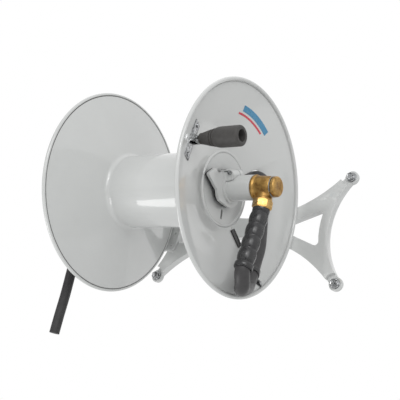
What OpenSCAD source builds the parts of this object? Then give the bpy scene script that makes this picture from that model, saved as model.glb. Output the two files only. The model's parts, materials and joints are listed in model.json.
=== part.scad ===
// Wall-mounted hose reel with a hand crank, carried by one arm on a fixed hollow axle.
// Millimetres. X runs along the axle towards the crank, Y into the wall, Z up.
// The origin is the middle of the four wall bolts, on the wall's face.

/* [Wall plate] */
// Distance between the wall bolts, sideways
bolt_pitch_x = 467; // [440:1:500]
// Distance between the wall bolts, up and down
bolt_pitch_z = 236; // [220:1:250]
// Thickness of the casting
plate_t = 18; // [14:0.5:20]
// Thickness of a foot, under its bolt
foot_t = 8; // [6:0.5:10]
// Radius of a foot's round end
foot_r = 15; // [14:0.5:18]
// Radius of the step round each bolt
step_r = 21; // [19:0.5:24]
// Radius of the hollow side arches
arch_r = 171; // [150:1:200]
// Width of the arched side bands
band_w = 20; // [16:0.5:24]
// Height of the plate at its waist
waist_h = 46; // [40:1:60]
// Distance from the middle to each window's narrow end
window_in = 76; // [70:1:90]
// Height of a window's wide end
window_h = 86; // [70:1:90]
// Corner radius of the windows
window_r = 8; // [5:0.5:10]

/* [Wall bolts] */
// Diameter of the wall bolts
bolt_d = 10; // [8:1:10]
// Length of bolt behind the plate
bolt_reach = 12; // [8:1:40]
// Diameter of the bolt head's flange
bolt_flange_d = 20; // [18:0.5:22]
// Height of the bolt's head with its flange
bolt_head_h = 9; // [7:0.5:11]
// Thickness of the washers
washer_t = 1.6; // [1:0.1:2.5]

/* [Reel] */
// Gap between the discs' edges and the wall
wall_gap = 29; // [26:1:60]
// Outside diameter of the discs
disc_d = 432; // [420:1:436]
// Depth of each dished disc
dish = 45; // [35:1:50]
// Thickness of the disc sheet
sheet_t = 2; // [1.5:0.1:2.5]
// Diameter of the rolled rims
bead_d = 8; // [6:0.5:10]
// Outside diameter of the drum
drum_d = 154; // [148:1:158]
// Distance between the discs at the hub
drum_w = 243; // [235:1:250]
// Wall of the drum tube
drum_wall = 2.5; // [1.5:0.1:4]
// Radius of the bend between drum and discs
fillet_r = 9; // [6:0.5:12]
// Place of the drum's middle along the axle
reel_shift = -38; // [-42:1:-34]
// Thickness of the hub castings
hub_t = 8; // [6:0.5:12]
// Length of the hub's boss, inwards
hub_boss = 24; // [18:1:30]

/* [Disc opening] */
// Outer radius of the opening for the leader hose
open_r = 124; // [120:1:135]
// Radius of the opening's upper outer corner
open_corner = 24; // [16:1:28]
// Lower edge of the opening, degrees from the wall side
open_a1 = -53; // [-56:1:-48]
// Upper edge of the opening
open_a2 = 45; // [44:1:60]
// Width of the trim on the lower edge
trim_w = 12; // [8:0.5:14]
// Height of the trim over the sheet
trim_h = 3.5; // [2.5:0.5:5]

/* [Axle] */
// Outside diameter of the axle tube
axle_d = 50; // [46:0.5:54]
// Wall of the axle tube
axle_wall = 5; // [4:0.5:6]
// Length of axle in front of the hub
axle_front = 72; // [68:1:78]
// Wall of the bushes
bush_wall = 3.5; // [2.5:0.5:5]
// Thickness of the bushes' flanges
bush_flange_t = 2; // [1.5:0.5:3]
// Radial clearance of running fits
run_clear = 0.05; // [0.02:0.01:0.09]
// Axial clearance beside moving faces
side_clear = 0.2; // [0.1:0.05:0.4]

/* [Support arm] */
// Width of the arm along the axle
arm_w = 33; // [28:1:36]
// Gap between the arm and the rear disc's rim
arm_gap = 3.5; // [3:0.5:6]
// Height of the arm's foot
arm_foot_h = 120; // [110:1:124]
// Thickness of the flange over the plate's band
arm_flange_t = 7; // [5:0.5:7]
// Radius of the arm's boss
arm_boss_r = 40; // [36:0.5:44]
// Depth of the pockets in the arm's sides
arm_pocket = 10; // [6:0.5:12]
// Width of the rim left round a pocket
arm_rim = 8; // [6:0.5:10]

/* [Brake collar] */
// Thickness of the collar's lever flange
lever_t = 6; // [5:0.5:8]
// Radius of the flange round the axle
lever_r = 38; // [36:0.5:40]
// Distance from the axle to the lever's tip
lever_reach = 76; // [60:1:80]
// Thickness of the friction ring
pad_t = 7; // [5:0.5:8]
// Length of the collar's clamp lug along the axle
lug_len = 30; // [26:1:34]
// Distance from the lug's middle to its far side
lug_far = 11; // [10:1:13]
// Distance from the lug's middle to its near side, which hangs over the tube
lug_near = 23; // [21:1:24]
// Height of the lug over the tube
lug_h = 12; // [10:0.5:14]
// Direction in which the lug points
lug_a = 116; // [110:1:120]

/* [Swivel] */
// Radius of the swivel's collar
swivel_collar_r = 25; // [24:0.5:27]
// Radius of the swivel's body at its outer end
swivel_r = 20; // [19:0.5:22]
// Distance from the axle's end to the outlet's centre line
outlet_out = 23; // [22:0.5:26]
// Length of the swivel's body
swivel_len = 40; // [38:1:44]
// Length of the swivel's cap
cap_len = 11; // [9:0.5:14]
// Radius of the stem that the swivel turns on
stem_r = 11; // [9:0.5:12]
// Width across the flats of the outlet nut
nut_af = 34; // [32:0.5:36]
// Height of the outlet nut
nut_h = 18; // [16:0.5:20]

/* [Leader hose] */
// Outside diameter of the leader hose
leader_d = 29; // [27:0.5:29]
// Outside diameter of the bend restrictor
restrictor_d = 36; // [34:0.5:40]
// Length of the bend restrictor
restrictor_len = 125; // [100:1:130]
// Number of its bulges
restrictor_bulges = 4; // [3:1:6]
// Width of the hose clip
clip_w = 12; // [8:0.5:14]
// Thickness of the hose clip
clip_t = 1.6; // [1:0.1:2]

/* [Crank] */
// Distance of the crank handle inside the disc's edge
crank_in = 44; // [41:1:51]
// Height of the crank handle over the axle
crank_z = 24; // [15:1:30]
// Length of the grip
grip_len = 88; // [80:1:100]
// Grip diameter at its root
grip_root_d = 20.6; // [19:0.2:24]
// Grip diameter at its outer half
grip_d = 37.7; // [34:0.5:40]
// Diameter of the spindle in the grip
spindle_d = 10; // [8:0.5:11]
// Length of the crank bracket
bracket_len = 76; // [70:1:84]
// Width of the crank bracket
bracket_w = 22; // [20:0.5:26]
// Thickness of the crank bracket's foot
bracket_t = 2; // [1.5:0.1:2.2]

/* [Inlet] */
// Outside diameter of the inlet hose
inlet_d = 21.6; // [19:0.2:24]
// Distance from the arm's outer face to the inlet hose
inlet_out = 26.5; // [24:0.5:32]
// Outside diameter of the water pipe in the axle
pipe_d = 27; // [24:0.5:30]
// Wall of the water pipe
pipe_wall = 2.5; // [2:0.1:3.5]

/* [Hidden] */
$fn = 96;

paint = "#c3c6c5";
steel = "silver";
brass = "#b08a45";
black = "#303030";

// Places along the axle
hub_f = reel_shift + drum_w / 2;
hub_r = reel_shift - drum_w / 2;
rim_f = hub_f + dish;
rim_r = hub_r - dish;
arm_in = rim_r - bead_d / 2 - arm_gap;
arm_out = arm_in - arm_w;
axle_end = hub_f + axle_front;
washer_in = hub_r - bush_flange_t - side_clear;
rear_washer_t = 3;
boss_end = washer_in - rear_washer_t;
pad_in = hub_f + bush_flange_t + side_clear;
lever_in = pad_in + pad_t;

// Radii
disc_r = disc_d / 2;
axis_out = disc_r + wall_gap;
bead_r = bead_d / 2;
drum_r = drum_d / 2;
axle_r = axle_d / 2;
axle_ir = axle_r - axle_wall;
bush_r = axle_r + run_clear + bush_wall;
cone_run = disc_r - drum_r;
slope = atan(dish / cone_run);
fit = 0.05;
screw_play = 0.2;
through = 60;

// Ridge round the hub's face
ridge_r = 3.4;
ridge_h = 2;
ridge_in = 3;

// Wall plate
bolt_x = bolt_pitch_x / 2;
bolt_z = bolt_pitch_z / 2;
arch_x = bolt_x + foot_r + sqrt(arch_r * arch_r - bolt_z * bolt_z);
top_rise = bolt_z + foot_r - waist_h / 2;
top_r = (bolt_x * bolt_x + top_rise * top_rise) / (2 * top_rise);
top_z = waist_h / 2 + top_r;
inner_arch_r = arch_r + band_w;
window_x = arch_x - sqrt(inner_arch_r * inner_arch_r - window_h * window_h / 4);
bolt_hole_r = bolt_d / 2 + 0.5;
bolt_flange_t = 2.5;
shank_relief = 0.2;
thread_gap = 0.3;
arm_screw_depth = 12;
hex_k = 2 / sqrt(3);

// Slot in the front hub's face
slot_r = 52;
slot_a = -81;
slot_len = 20;
slot_w = 5;

// Two stripes on the front disc's face
decal_in = 47;
decal_r = disc_r - decal_in;
decal_t = 0.4;
stripe_w = 12;
fine_stripe_w = 4;
stripe_a = 66;
fine_stripe_a = 70;
stripe_span = 34;

// Support arm
arm_screw_r = 4;
arm_screw_shank_r = 3.5;
arm_screw_head_h = 4;
arm_counterbore = 4;
arm_end_in = 6;
arm_screw_z = [-46, -17, 17, 46];
arm_y = -plate_t;

// Brake collar's lug
lug_mid = axle_r + lug_h * 0.55;
lug_bolt_d = 6;
lug_slit = 3;
lug_under = 9;
lug_slot_l = 11;
lug_slot_w = 2.6;
lug_top = axle_r + lug_h;
lug_low = axle_r - lug_under;
lug_end_r = (lug_top - lug_low) / 2;
lever_out = lever_reach + 4 - lever_r;
lever_top = -lever_r - 0.29 * lever_out;
lever_edge = [[0, lever_r, 0], [lever_top, 12, 5], [lever_top - 0.27 * lever_out, 18, 3],
    [-lever_r - lever_out, -2, 3], [-lever_r - 0.36 * lever_out, -15, 6], [-lever_r - 4, -20, 4],
    [-lever_r + 2, -30, 5], [-lever_r + 11, 1 - lever_r, 5], [0, -lever_r, 0]];
collar_wall = 5;
pad_plate_t = 3.5;
lug_nut_h = 5;

// Swivel, outlet and bend restrictor
outlet_x = axle_end + outlet_out;
swivel_x = axle_end + side_clear;
swivel_end = swivel_x + swivel_len;
cap_skirt = 6;
cap_skirt_r = 17;
clip_ring_t = 1.5;
stem_clip_x = swivel_end - cap_skirt + side_clear;
stem_end = stem_clip_x + clip_ring_t + 1.5;
stem_plug = 20;
stem_bore_r = stem_r - 5;
port_r = 5;
seal_w = 3;
seal_places = [outlet_x - 12, outlet_x + 7];
branch_z = swivel_r + 7;
leader_r = leader_d / 2;
spigot_len = 9;
nut_z = branch_z + nut_h;
restrictor_r = restrictor_d / 2;
restrictor_bore = leader_r + 0.9;
restrictor_lip = 0.8;
restrictor_flare = 30;
restrictor_tilt = [-8, 2, 0];
wave_depth = 0.5;
wave_h = 1.1;

// Leader hose: X from the front rim's plane, Y and Z from the axle's centre line
outlet_rel = outlet_x - rim_f;
function along_restrictor(d) =
    [outlet_rel - d * tan(restrictor_tilt[1]), d * tan(restrictor_tilt[0]), -nut_z - d];
function widened(k, pts) = [for (p = pts) [p[0], k * p[1], k * p[2]]];
// Sizes that the two stretches below are laid out for: the disc, and the drum and opening together
route_disc_d = 432;
route_open = 201;
leader_route = concat(
    [for (d = [0, 0.5, 1]) [outlet_rel, 0, -branch_z - spigot_len - d * (nut_h - spigot_len)]],
    [for (d = [9, 40, 80, restrictor_len]) along_restrictor(d)],
    widened(disc_d / route_disc_d, [[42, -4, -193], [31, 14, -198], [23, 35, -191], [15, 54, -183],
        [8, 68, -167], [2, 81, -146], [-3, 92, -120], [-6, 101, -90]]),
    widened((drum_r + open_r) / route_open, [[-12, 106, -57], [-16, 105, -21], [-15, 100, 14],
        [-14, 93, 41], [-24, 89, 56], [-40, 88, 60], [-61, 89, 54], [-80, 81, 56], [-93, 61, 71],
        [-102, 36, 85], [-109, 18, 91], [-113, 4, 94], [-117, -10, 97]]));
leader_sides = 12;
leader_steps = 2;
leader_path = smooth(leader_route, leader_steps);
coupling_r = 14;

// Clip on the leader hose, at one point of its route
clip_at = 12;
clip_screw_r = disc_r - 16;
clip_screw_a = -51;
clip_screw_d = 4;
clip_overlap = 8;
clip_p = leader_route[clip_at];
clip_dir = unit(leader_route[clip_at + 1] - leader_route[clip_at - 1]);
clip_r = leader_r + 0.2;

// Crank
pivot_x = rim_f;
knuckle_r = 6.5;
knuckle_w = 13;
ear_t = 2.5;
ear_gap = 0.3;
ear_r = 6.5;
grip_x = pivot_x + 8;
pin_r = 3;
spindle_root = pin_r + 1.5;
grip_mid = 0.46;
grip_full = 0.52;
groove_places = [0.29, 0.36];
groove_depth = 0.8;
groove_w = 2;
recess_r = 11;
recess_depth = 22;
spindle_end = grip_x + grip_len - recess_depth;
spindle_nut_af = 14;
spindle_nut_h = 5;
pin_len = knuckle_w + 2 * (ear_gap + ear_t);
crank_y = disc_r - crank_in;
crank_r = sqrt(crank_y * crank_y + crank_z * crank_z);
crank_a = 180 - atan(crank_z / crank_y);
bracket_rise = bracket_t + bracket_len * bracket_len * sin(slope) / (8 * crank_r);
bracket_screw_d = 5;
bracket_screw_in = 7;
bracket_head_r = 4;
bracket_head_h = 2;
bracket_depth = 3;
ear_root = 18;

// Inlet
inlet_x = arm_out - inlet_out;
inlet_r = inlet_d / 2;
pipe_r = pipe_d / 2;
elbow_r = 17;
inlet_top = 30;
ferrule_len = 34;
inlet_route = [[0, 0, -30], [0, 0, -70], [0, 0, -110], [0, 0, -150], [0, 0, -190], [0, 0, -235],
    [-2, 0, -280], [-3, 0, -320]];
inlet_sides = 12;

// ---------------------------------------------------------------- helpers

function unit(v) = v / norm(v);

// Points of the arc that rounds corner p with radius r
function corner(a, p, b, r, n = 6) = r == 0 ? [p] : let(
    u = unit(a - p),
    v = unit(b - p),
    half = acos(u * v) / 2,
    c = p + unit(u + v) * r / sin(half),
    s = p + u * r / tan(half) - c,
    e = p + v * r / tan(half) - c,
    turn = acos(max(-1, min(1, s * e / (r * r)))),
    side = s[0] * e[1] - s[1] * e[0] > 0 ? 1 : -1)
    [for (i = [0:n]) let(t = side * turn * i / n)
        c + [s[0] * cos(t) - s[1] * sin(t), s[0] * sin(t) + s[1] * cos(t)]];

// Outline through [x, y, radius] points, with each corner rounded by its radius
function rounded(pts) = let(n = len(pts), xy = [for (p = pts) [p[0], p[1]]])
    [for (i = [0:n - 1]) each corner(xy[(i + n - 1) % n], xy[i], xy[(i + 1) % n], pts[i][2])];

// Smooth curve through the points of a route, with n steps between two of them
function spline_point(a, b, c, d, t) =
    (2 * b + (c - a) * t + (2 * a - 5 * b + 4 * c - d) * t * t + (3 * b - a - 3 * c + d) * t * t * t) / 2;
function smooth(p, n) = let(m = len(p) - 1) concat(
    [for (i = [0:m - 1], k = [0:n - 1])
        spline_point(p[max(i - 1, 0)], p[i], p[i + 1], p[min(i + 2, m)], k / n)], [p[m]]);
function tangents(p) = let(m = len(p) - 1)
    [for (i = [0:m]) unit(p[min(i + 1, m)] - p[max(i - 1, 0)])];
function normals(t, i = 0, n = [1, 0.1, 0]) = i >= len(t) ? [] :
    let(m = unit(n - (n * t[i]) * t[i])) concat([m], normals(t, i + 1, m));

// Round tube along a list of points
module sweep(p, r, sides) {
    t = tangents(p);
    u = normals(t);
    rings = [for (i = [0:len(p) - 1], k = [0:sides - 1]) let(
        v = cross(t[i], u[i]), a = 360 * k / sides) p[i] + r * (cos(a) * u[i] + sin(a) * v)];
    m = len(p) - 1;
    walls = [for (i = [0:m - 1], k = [0:sides - 1]) let(
        a = i * sides + k, b = i * sides + (k + 1) % sides)
        each [[a, a + sides, b], [b, a + sides, b + sides]]];
    first = [for (k = [0:sides - 1]) k];
    last = [for (k = [0:sides - 1]) m * sides + sides - 1 - k];
    polyhedron(points = rings, faces = concat(walls, [first], [last]));
}

// Children drawn with +Z along the axle, standing at x
module on_axle(x) translate([x, -axis_out, 0]) rotate([0, 90, 0]) children();

// Frame at radius r and angle a about the axle: X along the axle, Y outwards
module at_polar(x, r, a) translate([x, -axis_out, 0]) rotate([a, 0, 0]) translate([0, r, 0]) children();

// Frame on the front disc's face: X away from the disc, Y outwards along its slope
function face_x(r) = hub_f + dish * (r - drum_r) / cone_run;
module on_face(r, a) at_polar(face_x(r), r, a) rotate([0, 0, -slope]) children();

module pipe(ro, ri, h) difference() {
    cylinder(r = ro, h = h);
    translate([0, 0, -1]) cylinder(r = ri, h = h + 2);
}

module hex(af, h) cylinder(r = af * hex_k / 2, h = h, $fn = 6);

// Everything behind the front disc's face
module behind_face() on_axle(hub_f) rotate_extrude($fn = 192)
    polygon([[0, -60], [0, 0], [drum_r, 0], [disc_r, dish], [disc_r, -60]]);

// ---------------------------------------------------------------- wall plate

module each_bolt(y) for (sx = [-1, 1], sz = [-1, 1])
    translate([sx * bolt_x, y, sz * bolt_z]) rotate([-90, 0, 0]) children();

function arch_edge(r, z) = arch_x - sqrt(r * r - z * z);

module window_outline() polygon(rounded(concat(
    [[window_in, 0, window_r], [window_x, window_h / 2, window_r]],
    [for (k = [1, 0, -1]) let(z = k * window_h / 5) [arch_edge(inner_arch_r, z), z, 0]],
    [[window_x, -window_h / 2, window_r]])));

module plate_outline() {
    difference() {
        union() {
            square([bolt_pitch_x, bolt_pitch_z + 2 * foot_r], center = true);
            square([bolt_pitch_x + 2 * foot_r, bolt_pitch_z], center = true);
        }
        for (s = [-1, 1]) {
            translate([0, s * top_z]) circle(r = top_r, $fn = 360);
            translate([s * arch_x, 0]) circle(r = arch_r, $fn = 360);
        }
        window_outline();
        mirror([1, 0]) window_outline();
    }
    for (sx = [-1, 1], sz = [-1, 1]) translate([sx * bolt_x, sz * bolt_z]) circle(r = foot_r);
}

module base_plate() color(paint) difference() {
    rotate([90, 0, 0]) linear_extrude(plate_t) plate_outline();
    each_bolt(-plate_t - 1) cylinder(r = step_r, h = plate_t - foot_t + 1);
    each_bolt(-plate_t) cylinder(r = bolt_hole_r, h = plate_t + 1);
    arm_screw_places() translate([0, 0, -1])
        cylinder(r = arm_screw_shank_r, h = arm_screw_depth + 1);
}

// The thread starts just behind the plate, on a slimmer shank
module wall_bolts() color(steel) each_bolt(-foot_t - washer_t) {
    shank = foot_t + washer_t + thread_gap;
    cylinder(r = bolt_d / 2 - shank_relief, h = shank + 1);
    translate([0, 0, shank]) cylinder(r = bolt_d / 2, h = bolt_reach - thread_gap);
    translate([0, 0, -bolt_flange_t]) cylinder(r = bolt_flange_d / 2, h = bolt_flange_t);
    translate([0, 0, -bolt_head_h]) hex(bolt_flange_d - 4, bolt_head_h - bolt_flange_t);
}

module wall_washers() color(steel) each_bolt(-foot_t - washer_t)
    pipe(bolt_flange_d / 2 + 1, bolt_hole_r, washer_t);

// ---------------------------------------------------------------- support arm

module arm_screw_places() for (z = arm_screw_z) let(a = asin(z / (arch_r + band_w / 2)))
    translate([-arch_x + (arch_r + band_w / 2) * cos(a), arm_y, z]) rotate([-90, 0, 0]) children();

module arm_side(inset) {
    foot = arm_foot_h / 2 - inset;
    tip = arm_boss_r * 0.8 - inset;
    polygon(rounded([
        [arm_y - inset, foot, inset], [arm_y - inset, -foot, inset],
        [-axis_out + inset * arm_end_in, -tip, inset],
        [-axis_out + inset * arm_end_in, tip, inset]]));
}

module support_arm() color(paint) difference() {
    union() {
        translate([arm_out, 0, 0]) rotate([90, 0, 90]) linear_extrude(arm_w) arm_side(0);
        on_axle(arm_out) cylinder(r = arm_boss_r, h = arm_w);
        on_axle(arm_out) cylinder(r = arm_boss_r - 5, h = boss_end - arm_out);
        intersection() {
            translate([arm_in - 1, arm_y - arm_flange_t, -arm_foot_h / 2])
                cube([-arm_in, arm_flange_t, arm_foot_h]);
            translate([-arch_x, 0, 0]) rotate([90, 0, 0]) cylinder(r = inner_arch_r, h = 60, $fn = 360);
        }
    }
    for (x = [arm_out - 1, arm_in - arm_pocket]) translate([x, 0, 0]) rotate([90, 0, 90])
        linear_extrude(arm_pocket + 1) arm_side(arm_rim);
    on_axle(arm_out - 1) cylinder(r = axle_r, h = boss_end - arm_out + 2);
    arm_screw_places() {
        translate([0, 0, -arm_flange_t - 1]) cylinder(r = arm_screw_r + 0.3, h = arm_flange_t + 2);
        translate([0, 0, -arm_flange_t - 1]) cylinder(r = arm_screw_r * 2, h = arm_counterbore + 1);
    }
    set_screw_places() translate([0, 0, -3]) cylinder(r = arm_screw_r + fit, h = arm_boss_r);
}

module arm_screws() color(steel) arm_screw_places() {
    translate([0, 0, -arm_flange_t]) difference() {
        cylinder(r = arm_screw_r * 2 - 0.3, h = arm_screw_head_h);
        translate([0, 0, -1]) hex(5, 3.5);
    }
    translate([0, 0, -arm_flange_t + arm_screw_head_h - 1])
        cylinder(r = arm_screw_shank_r, h = arm_flange_t + arm_screw_depth - arm_screw_head_h + 1);
}

module set_screw_places() for (a = [60, 120])
    at_polar(arm_out + arm_w / 2, axle_r, a) rotate([-90, 0, 0]) children();

module axle_set_screws() color(steel) set_screw_places() difference() {
    cylinder(r = arm_screw_r, h = arm_boss_r - axle_r - 1);
    translate([0, 0, arm_boss_r - axle_r - 5]) hex(4, 5);
}

// ---------------------------------------------------------------- axle and water way

module axle_tube() color(paint) on_axle(arm_out) pipe(axle_r, axle_ir, axle_end - arm_out);

module water_pipe() color(steel) on_axle(arm_out - 6)
    pipe(pipe_r, pipe_r - pipe_wall, axle_end - stem_plug - arm_out + 6);

module pipe_spacers() color(black) for (x = [arm_out + 2, (hub_f + hub_r) / 2]) on_axle(x)
    pipe(axle_ir, pipe_r, 10);

module swivel_stem() color(brass) difference() {
    union() {
        on_axle(axle_end - stem_plug) cylinder(r = axle_ir, h = stem_plug);
        on_axle(axle_end - stem_plug) cylinder(r = stem_r, h = stem_end - axle_end + stem_plug);
    }
    on_axle(axle_end - stem_plug - 1) cylinder(r = stem_bore_r, h = stem_plug + outlet_out + port_r + 1);
    translate([outlet_x, -axis_out, 0]) cylinder(r = port_r, h = 4 * stem_r, center = true);
    for (x = seal_places) on_axle(x) pipe(stem_r + 1, stem_r - 2, seal_w);
    on_axle(stem_clip_x) pipe(stem_r + 1, stem_r - 1.5, clip_ring_t);
}

module swivel_seals() color(black) for (x = seal_places) on_axle(x + 0.2)
    pipe(stem_r - 0.1, stem_r - 2, seal_w - 0.4);

module stem_clip() color(steel) on_axle(stem_clip_x) pipe(stem_r + 3, stem_r - 1.5, clip_ring_t);

module inlet_elbow() color(brass) difference() {
    union() {
        translate([inlet_x, -axis_out, 0]) sphere(r = elbow_r + 1);
        on_axle(inlet_x) cylinder(r = elbow_r, h = inlet_out - 12);
        on_axle(arm_out - 13) hex(2 * elbow_r + 4, 13);
        translate([inlet_x, -axis_out, ferrule_len - inlet_top - 30]) cylinder(r = 14, h = 26);
        translate([inlet_x, -axis_out, -inlet_top]) cylinder(r = inlet_r, h = inlet_top);
    }
    on_axle(inlet_x) cylinder(r = pipe_r - pipe_wall, h = inlet_out + 10);
    on_axle(arm_out - 6) cylinder(r = pipe_r, h = 20);
    translate([inlet_x, -axis_out, -inlet_top - 1]) cylinder(r = inlet_r - 3.5, h = inlet_top + 1);
}

module inlet_ferrule() color(steel) translate([inlet_x, -axis_out, -26 - ferrule_len])
    pipe(inlet_r + 2.2, inlet_r + fit, ferrule_len);

module inlet_hose() color(black) translate([inlet_x, -axis_out, 0])
    sweep(inlet_route, inlet_r, inlet_sides);

module rear_thrust_washer() color(black) on_axle(boss_end)
    pipe(axle_r + 8, axle_r + fit, rear_washer_t);

// ---------------------------------------------------------------- brake collar

// A ring on the hub's side and, behind the whole lever, a plate of the lever's own outline
module brake_pad() color(black) difference() {
    union() {
        on_axle(pad_in) cylinder(r = lever_r - 2, h = pad_t);
        translate([lever_in - pad_plate_t, -axis_out, 0]) rotate([90, 0, 90])
            linear_extrude(pad_plate_t) lever_outline();
    }
    on_axle(pad_in - 1) cylinder(r = axle_r + fit, h = pad_t + 2);
}

module lever_outline() {
    circle(r = lever_r);
    polygon(rounded(lever_edge));
}

module at_lug() at_polar(lever_in, 0, lug_a) children();

// Side view of the lug: square at the lever and round at its end
module lug_outline() {
    translate([0, lug_low]) square([lug_len - lug_end_r, lug_top - lug_low]);
    translate([lug_len - lug_end_r, lug_low + lug_end_r]) circle(r = lug_end_r);
}

module brake_collar() color(paint) difference() {
    union() {
        translate([lever_in, -axis_out, 0]) rotate([90, 0, 90]) linear_extrude(lever_t) lever_outline();
        on_axle(lever_in) cylinder(r = axle_r + collar_wall, h = lever_t + collar_wall);
        at_lug() translate([0, 0, -lug_far]) linear_extrude(lug_far + lug_near) lug_outline();
    }
    on_axle(lever_in - 1) cylinder(r = axle_r, h = lug_len + 10);
    at_lug() translate([lever_t, axle_r - 5, -lug_slit / 2]) cube([lug_len, lug_h + 6, lug_slit]);
    at_lug_bolt() cylinder(r = lug_bolt_d / 2 + 0.1, h = 3 * lug_near, center = true);
    at_lug() translate([lever_t + 1, lug_mid + 1, lug_near - 5]) cube([lug_slot_l, lug_slot_w, 6]);
}

module at_lug_bolt() at_lug() translate([lug_len - lug_end_r + 2, lug_mid, 0]) children();

module brake_bolt() color(steel) at_lug_bolt() {
    translate([0, 0, -lug_far - lug_nut_h - 2])
        cylinder(r = lug_bolt_d / 2, h = lug_far + lug_near + lug_nut_h + 3);
    difference() {
        translate([0, 0, lug_near]) cylinder(r = lug_bolt_d * 0.75, h = lug_bolt_d * 0.6);
        translate([0, 0, lug_near + 1.6]) hex(4, lug_bolt_d);
    }
}

module brake_nut() color(steel) at_lug_bolt() translate([0, 0, -lug_far - lug_nut_h]) difference() {
    hex(10, lug_nut_h);
    translate([0, 0, -1]) cylinder(r = lug_bolt_d / 2 + fit, h = lug_nut_h + 2);
}

// ---------------------------------------------------------------- drum and discs

module drum_tube() color(paint) on_axle(hub_r + sheet_t)
    pipe(drum_r, drum_r - drum_wall, drum_w - 2 * sheet_t);

// One disc, with its hub's face at 0 and its hollow side towards +Z
module dished_disc() {
    edge_r = disc_r - bead_r;
    edge_z = dish - bead_r * tan(slope);
    foot_z = fillet_r * tan(slope);
    rotate_extrude($fn = 192) polygon(concat(
        [[bush_r, -sheet_t], [bush_r, 0], [drum_r, 0], [edge_r, edge_z], [edge_r, edge_z - sheet_t],
            [drum_r + fillet_r, foot_z - sheet_t]],
        [for (k = [1:6]) let(t = k / 6, s = (1 - t) * (1 - t))
            [drum_r + fillet_r * s, foot_z * s - sheet_t - fillet_r * t * t]],
        [[drum_r, -sheet_t]]));
    rotate_extrude($fn = 192) translate([edge_r, edge_z]) circle(r = bead_r, $fn = 32);
    rotate_extrude($fn = 192) translate([drum_r - ridge_in, ridge_h - ridge_r]) intersection() {
        circle(r = ridge_r, $fn = 48);
        translate([-ridge_r, 0]) square([2 * ridge_r, ridge_r]);
    }
}

// Outline of the opening in the front disc: two radii, two angles and one rounded corner
function corner_drop(left) = left > open_corner ? 0
    : open_corner - sqrt(pow(open_corner, 2) - pow(open_corner - left, 2));
corner_span = 180 * open_corner / (PI * open_r);
corner_a = open_a2 - corner_span;

module opening_outline() polygon([
    for (k = [0:24]) (drum_r + 2) * toward(open_a1 + (open_a2 - open_a1) * k / 24),
    for (k = [12:-1:1]) (open_r - corner_drop(open_corner * (1 - k / 12)))
        * toward(corner_a + corner_span * k / 12),
    for (k = [24:-1:0]) open_r * toward(open_a1 + (corner_a - open_a1) * k / 24)]);

function toward(a) = [cos(a), sin(a)];

module front_disc_solid() difference() {
    on_axle(hub_f) dished_disc();
    translate([hub_f - 20, -axis_out, 0]) rotate([90, 0, 90]) linear_extrude(dish + 20)
        opening_outline();
    at_hub_slot(-sheet_t - 1) square_slot();
    on_face(clip_screw_r, clip_screw_a) rotate([0, 90, 0])
        cylinder(r = clip_screw_d / 2 + screw_play, h = 12, center = true);
    at_bracket_screws() translate([0, 0, -6]) cylinder(r = bracket_screw_d / 2 + screw_play, h = 8);
}

module at_hub_slot(h) at_polar(hub_f + h, slot_r, slot_a) children();
module square_slot() translate([0, -slot_len / 2, -slot_w / 2]) cube([sheet_t + 4, slot_len, slot_w]);

module front_disc() color(paint) front_disc_solid();

module rear_disc() color(paint) translate([hub_r, -axis_out, 0]) rotate([0, -90, 0]) dished_disc();

module hub_solid() difference() {
    union() {
        cylinder(r = drum_r - drum_wall, h = hub_t);
        cylinder(r = bush_r + 6, h = hub_boss);
    }
    translate([0, 0, -1]) cylinder(r = bush_r, h = hub_boss + 2);
}

module front_hub() color(paint) difference() {
    translate([hub_f - sheet_t, -axis_out, 0]) rotate([0, -90, 0]) hub_solid();
    at_hub_slot(-sheet_t - 4) square_slot();
}

module rear_hub() color(paint) on_axle(hub_r + sheet_t) hub_solid();

module bush_solid() difference() {
    union() {
        cylinder(r = bush_r, h = hub_boss + sheet_t);
        translate([0, 0, -bush_flange_t]) cylinder(r = bush_r + 4, h = bush_flange_t);
    }
    translate([0, 0, -bush_flange_t - 1]) cylinder(r = axle_r + run_clear, h = hub_boss + 10);
}

module front_bush() color(black) translate([hub_f, -axis_out, 0]) rotate([0, -90, 0]) bush_solid();
module rear_bush() color(black) on_axle(hub_r) bush_solid();

module opening_trim() color(black) difference() {
    on_face((drum_r + open_r) / 2 + 2, open_a1) translate([-sheet_t - trim_h, -19, -trim_w * 0.75])
        cube([sheet_t + 2 * trim_h, 38, trim_w]);
    front_disc_solid();
}

module decal_stripe(r0, r1, a0) on_axle(hub_f) rotate([0, 0, a0 + 90])
    rotate_extrude(angle = stripe_span) polygon([[r0, face_x(r0) - hub_f], [r1, face_x(r1) - hub_f],
        [r1, face_x(r1) - hub_f + decal_t], [r0, face_x(r0) - hub_f + decal_t]]);

module decal() color("steelblue") {
    decal_stripe(decal_r - stripe_w, decal_r, stripe_a);
    decal_stripe(decal_r - stripe_w - 2 * fine_stripe_w, decal_r - stripe_w - fine_stripe_w, fine_stripe_a);
}

// ---------------------------------------------------------------- swivel and outlet

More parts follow.
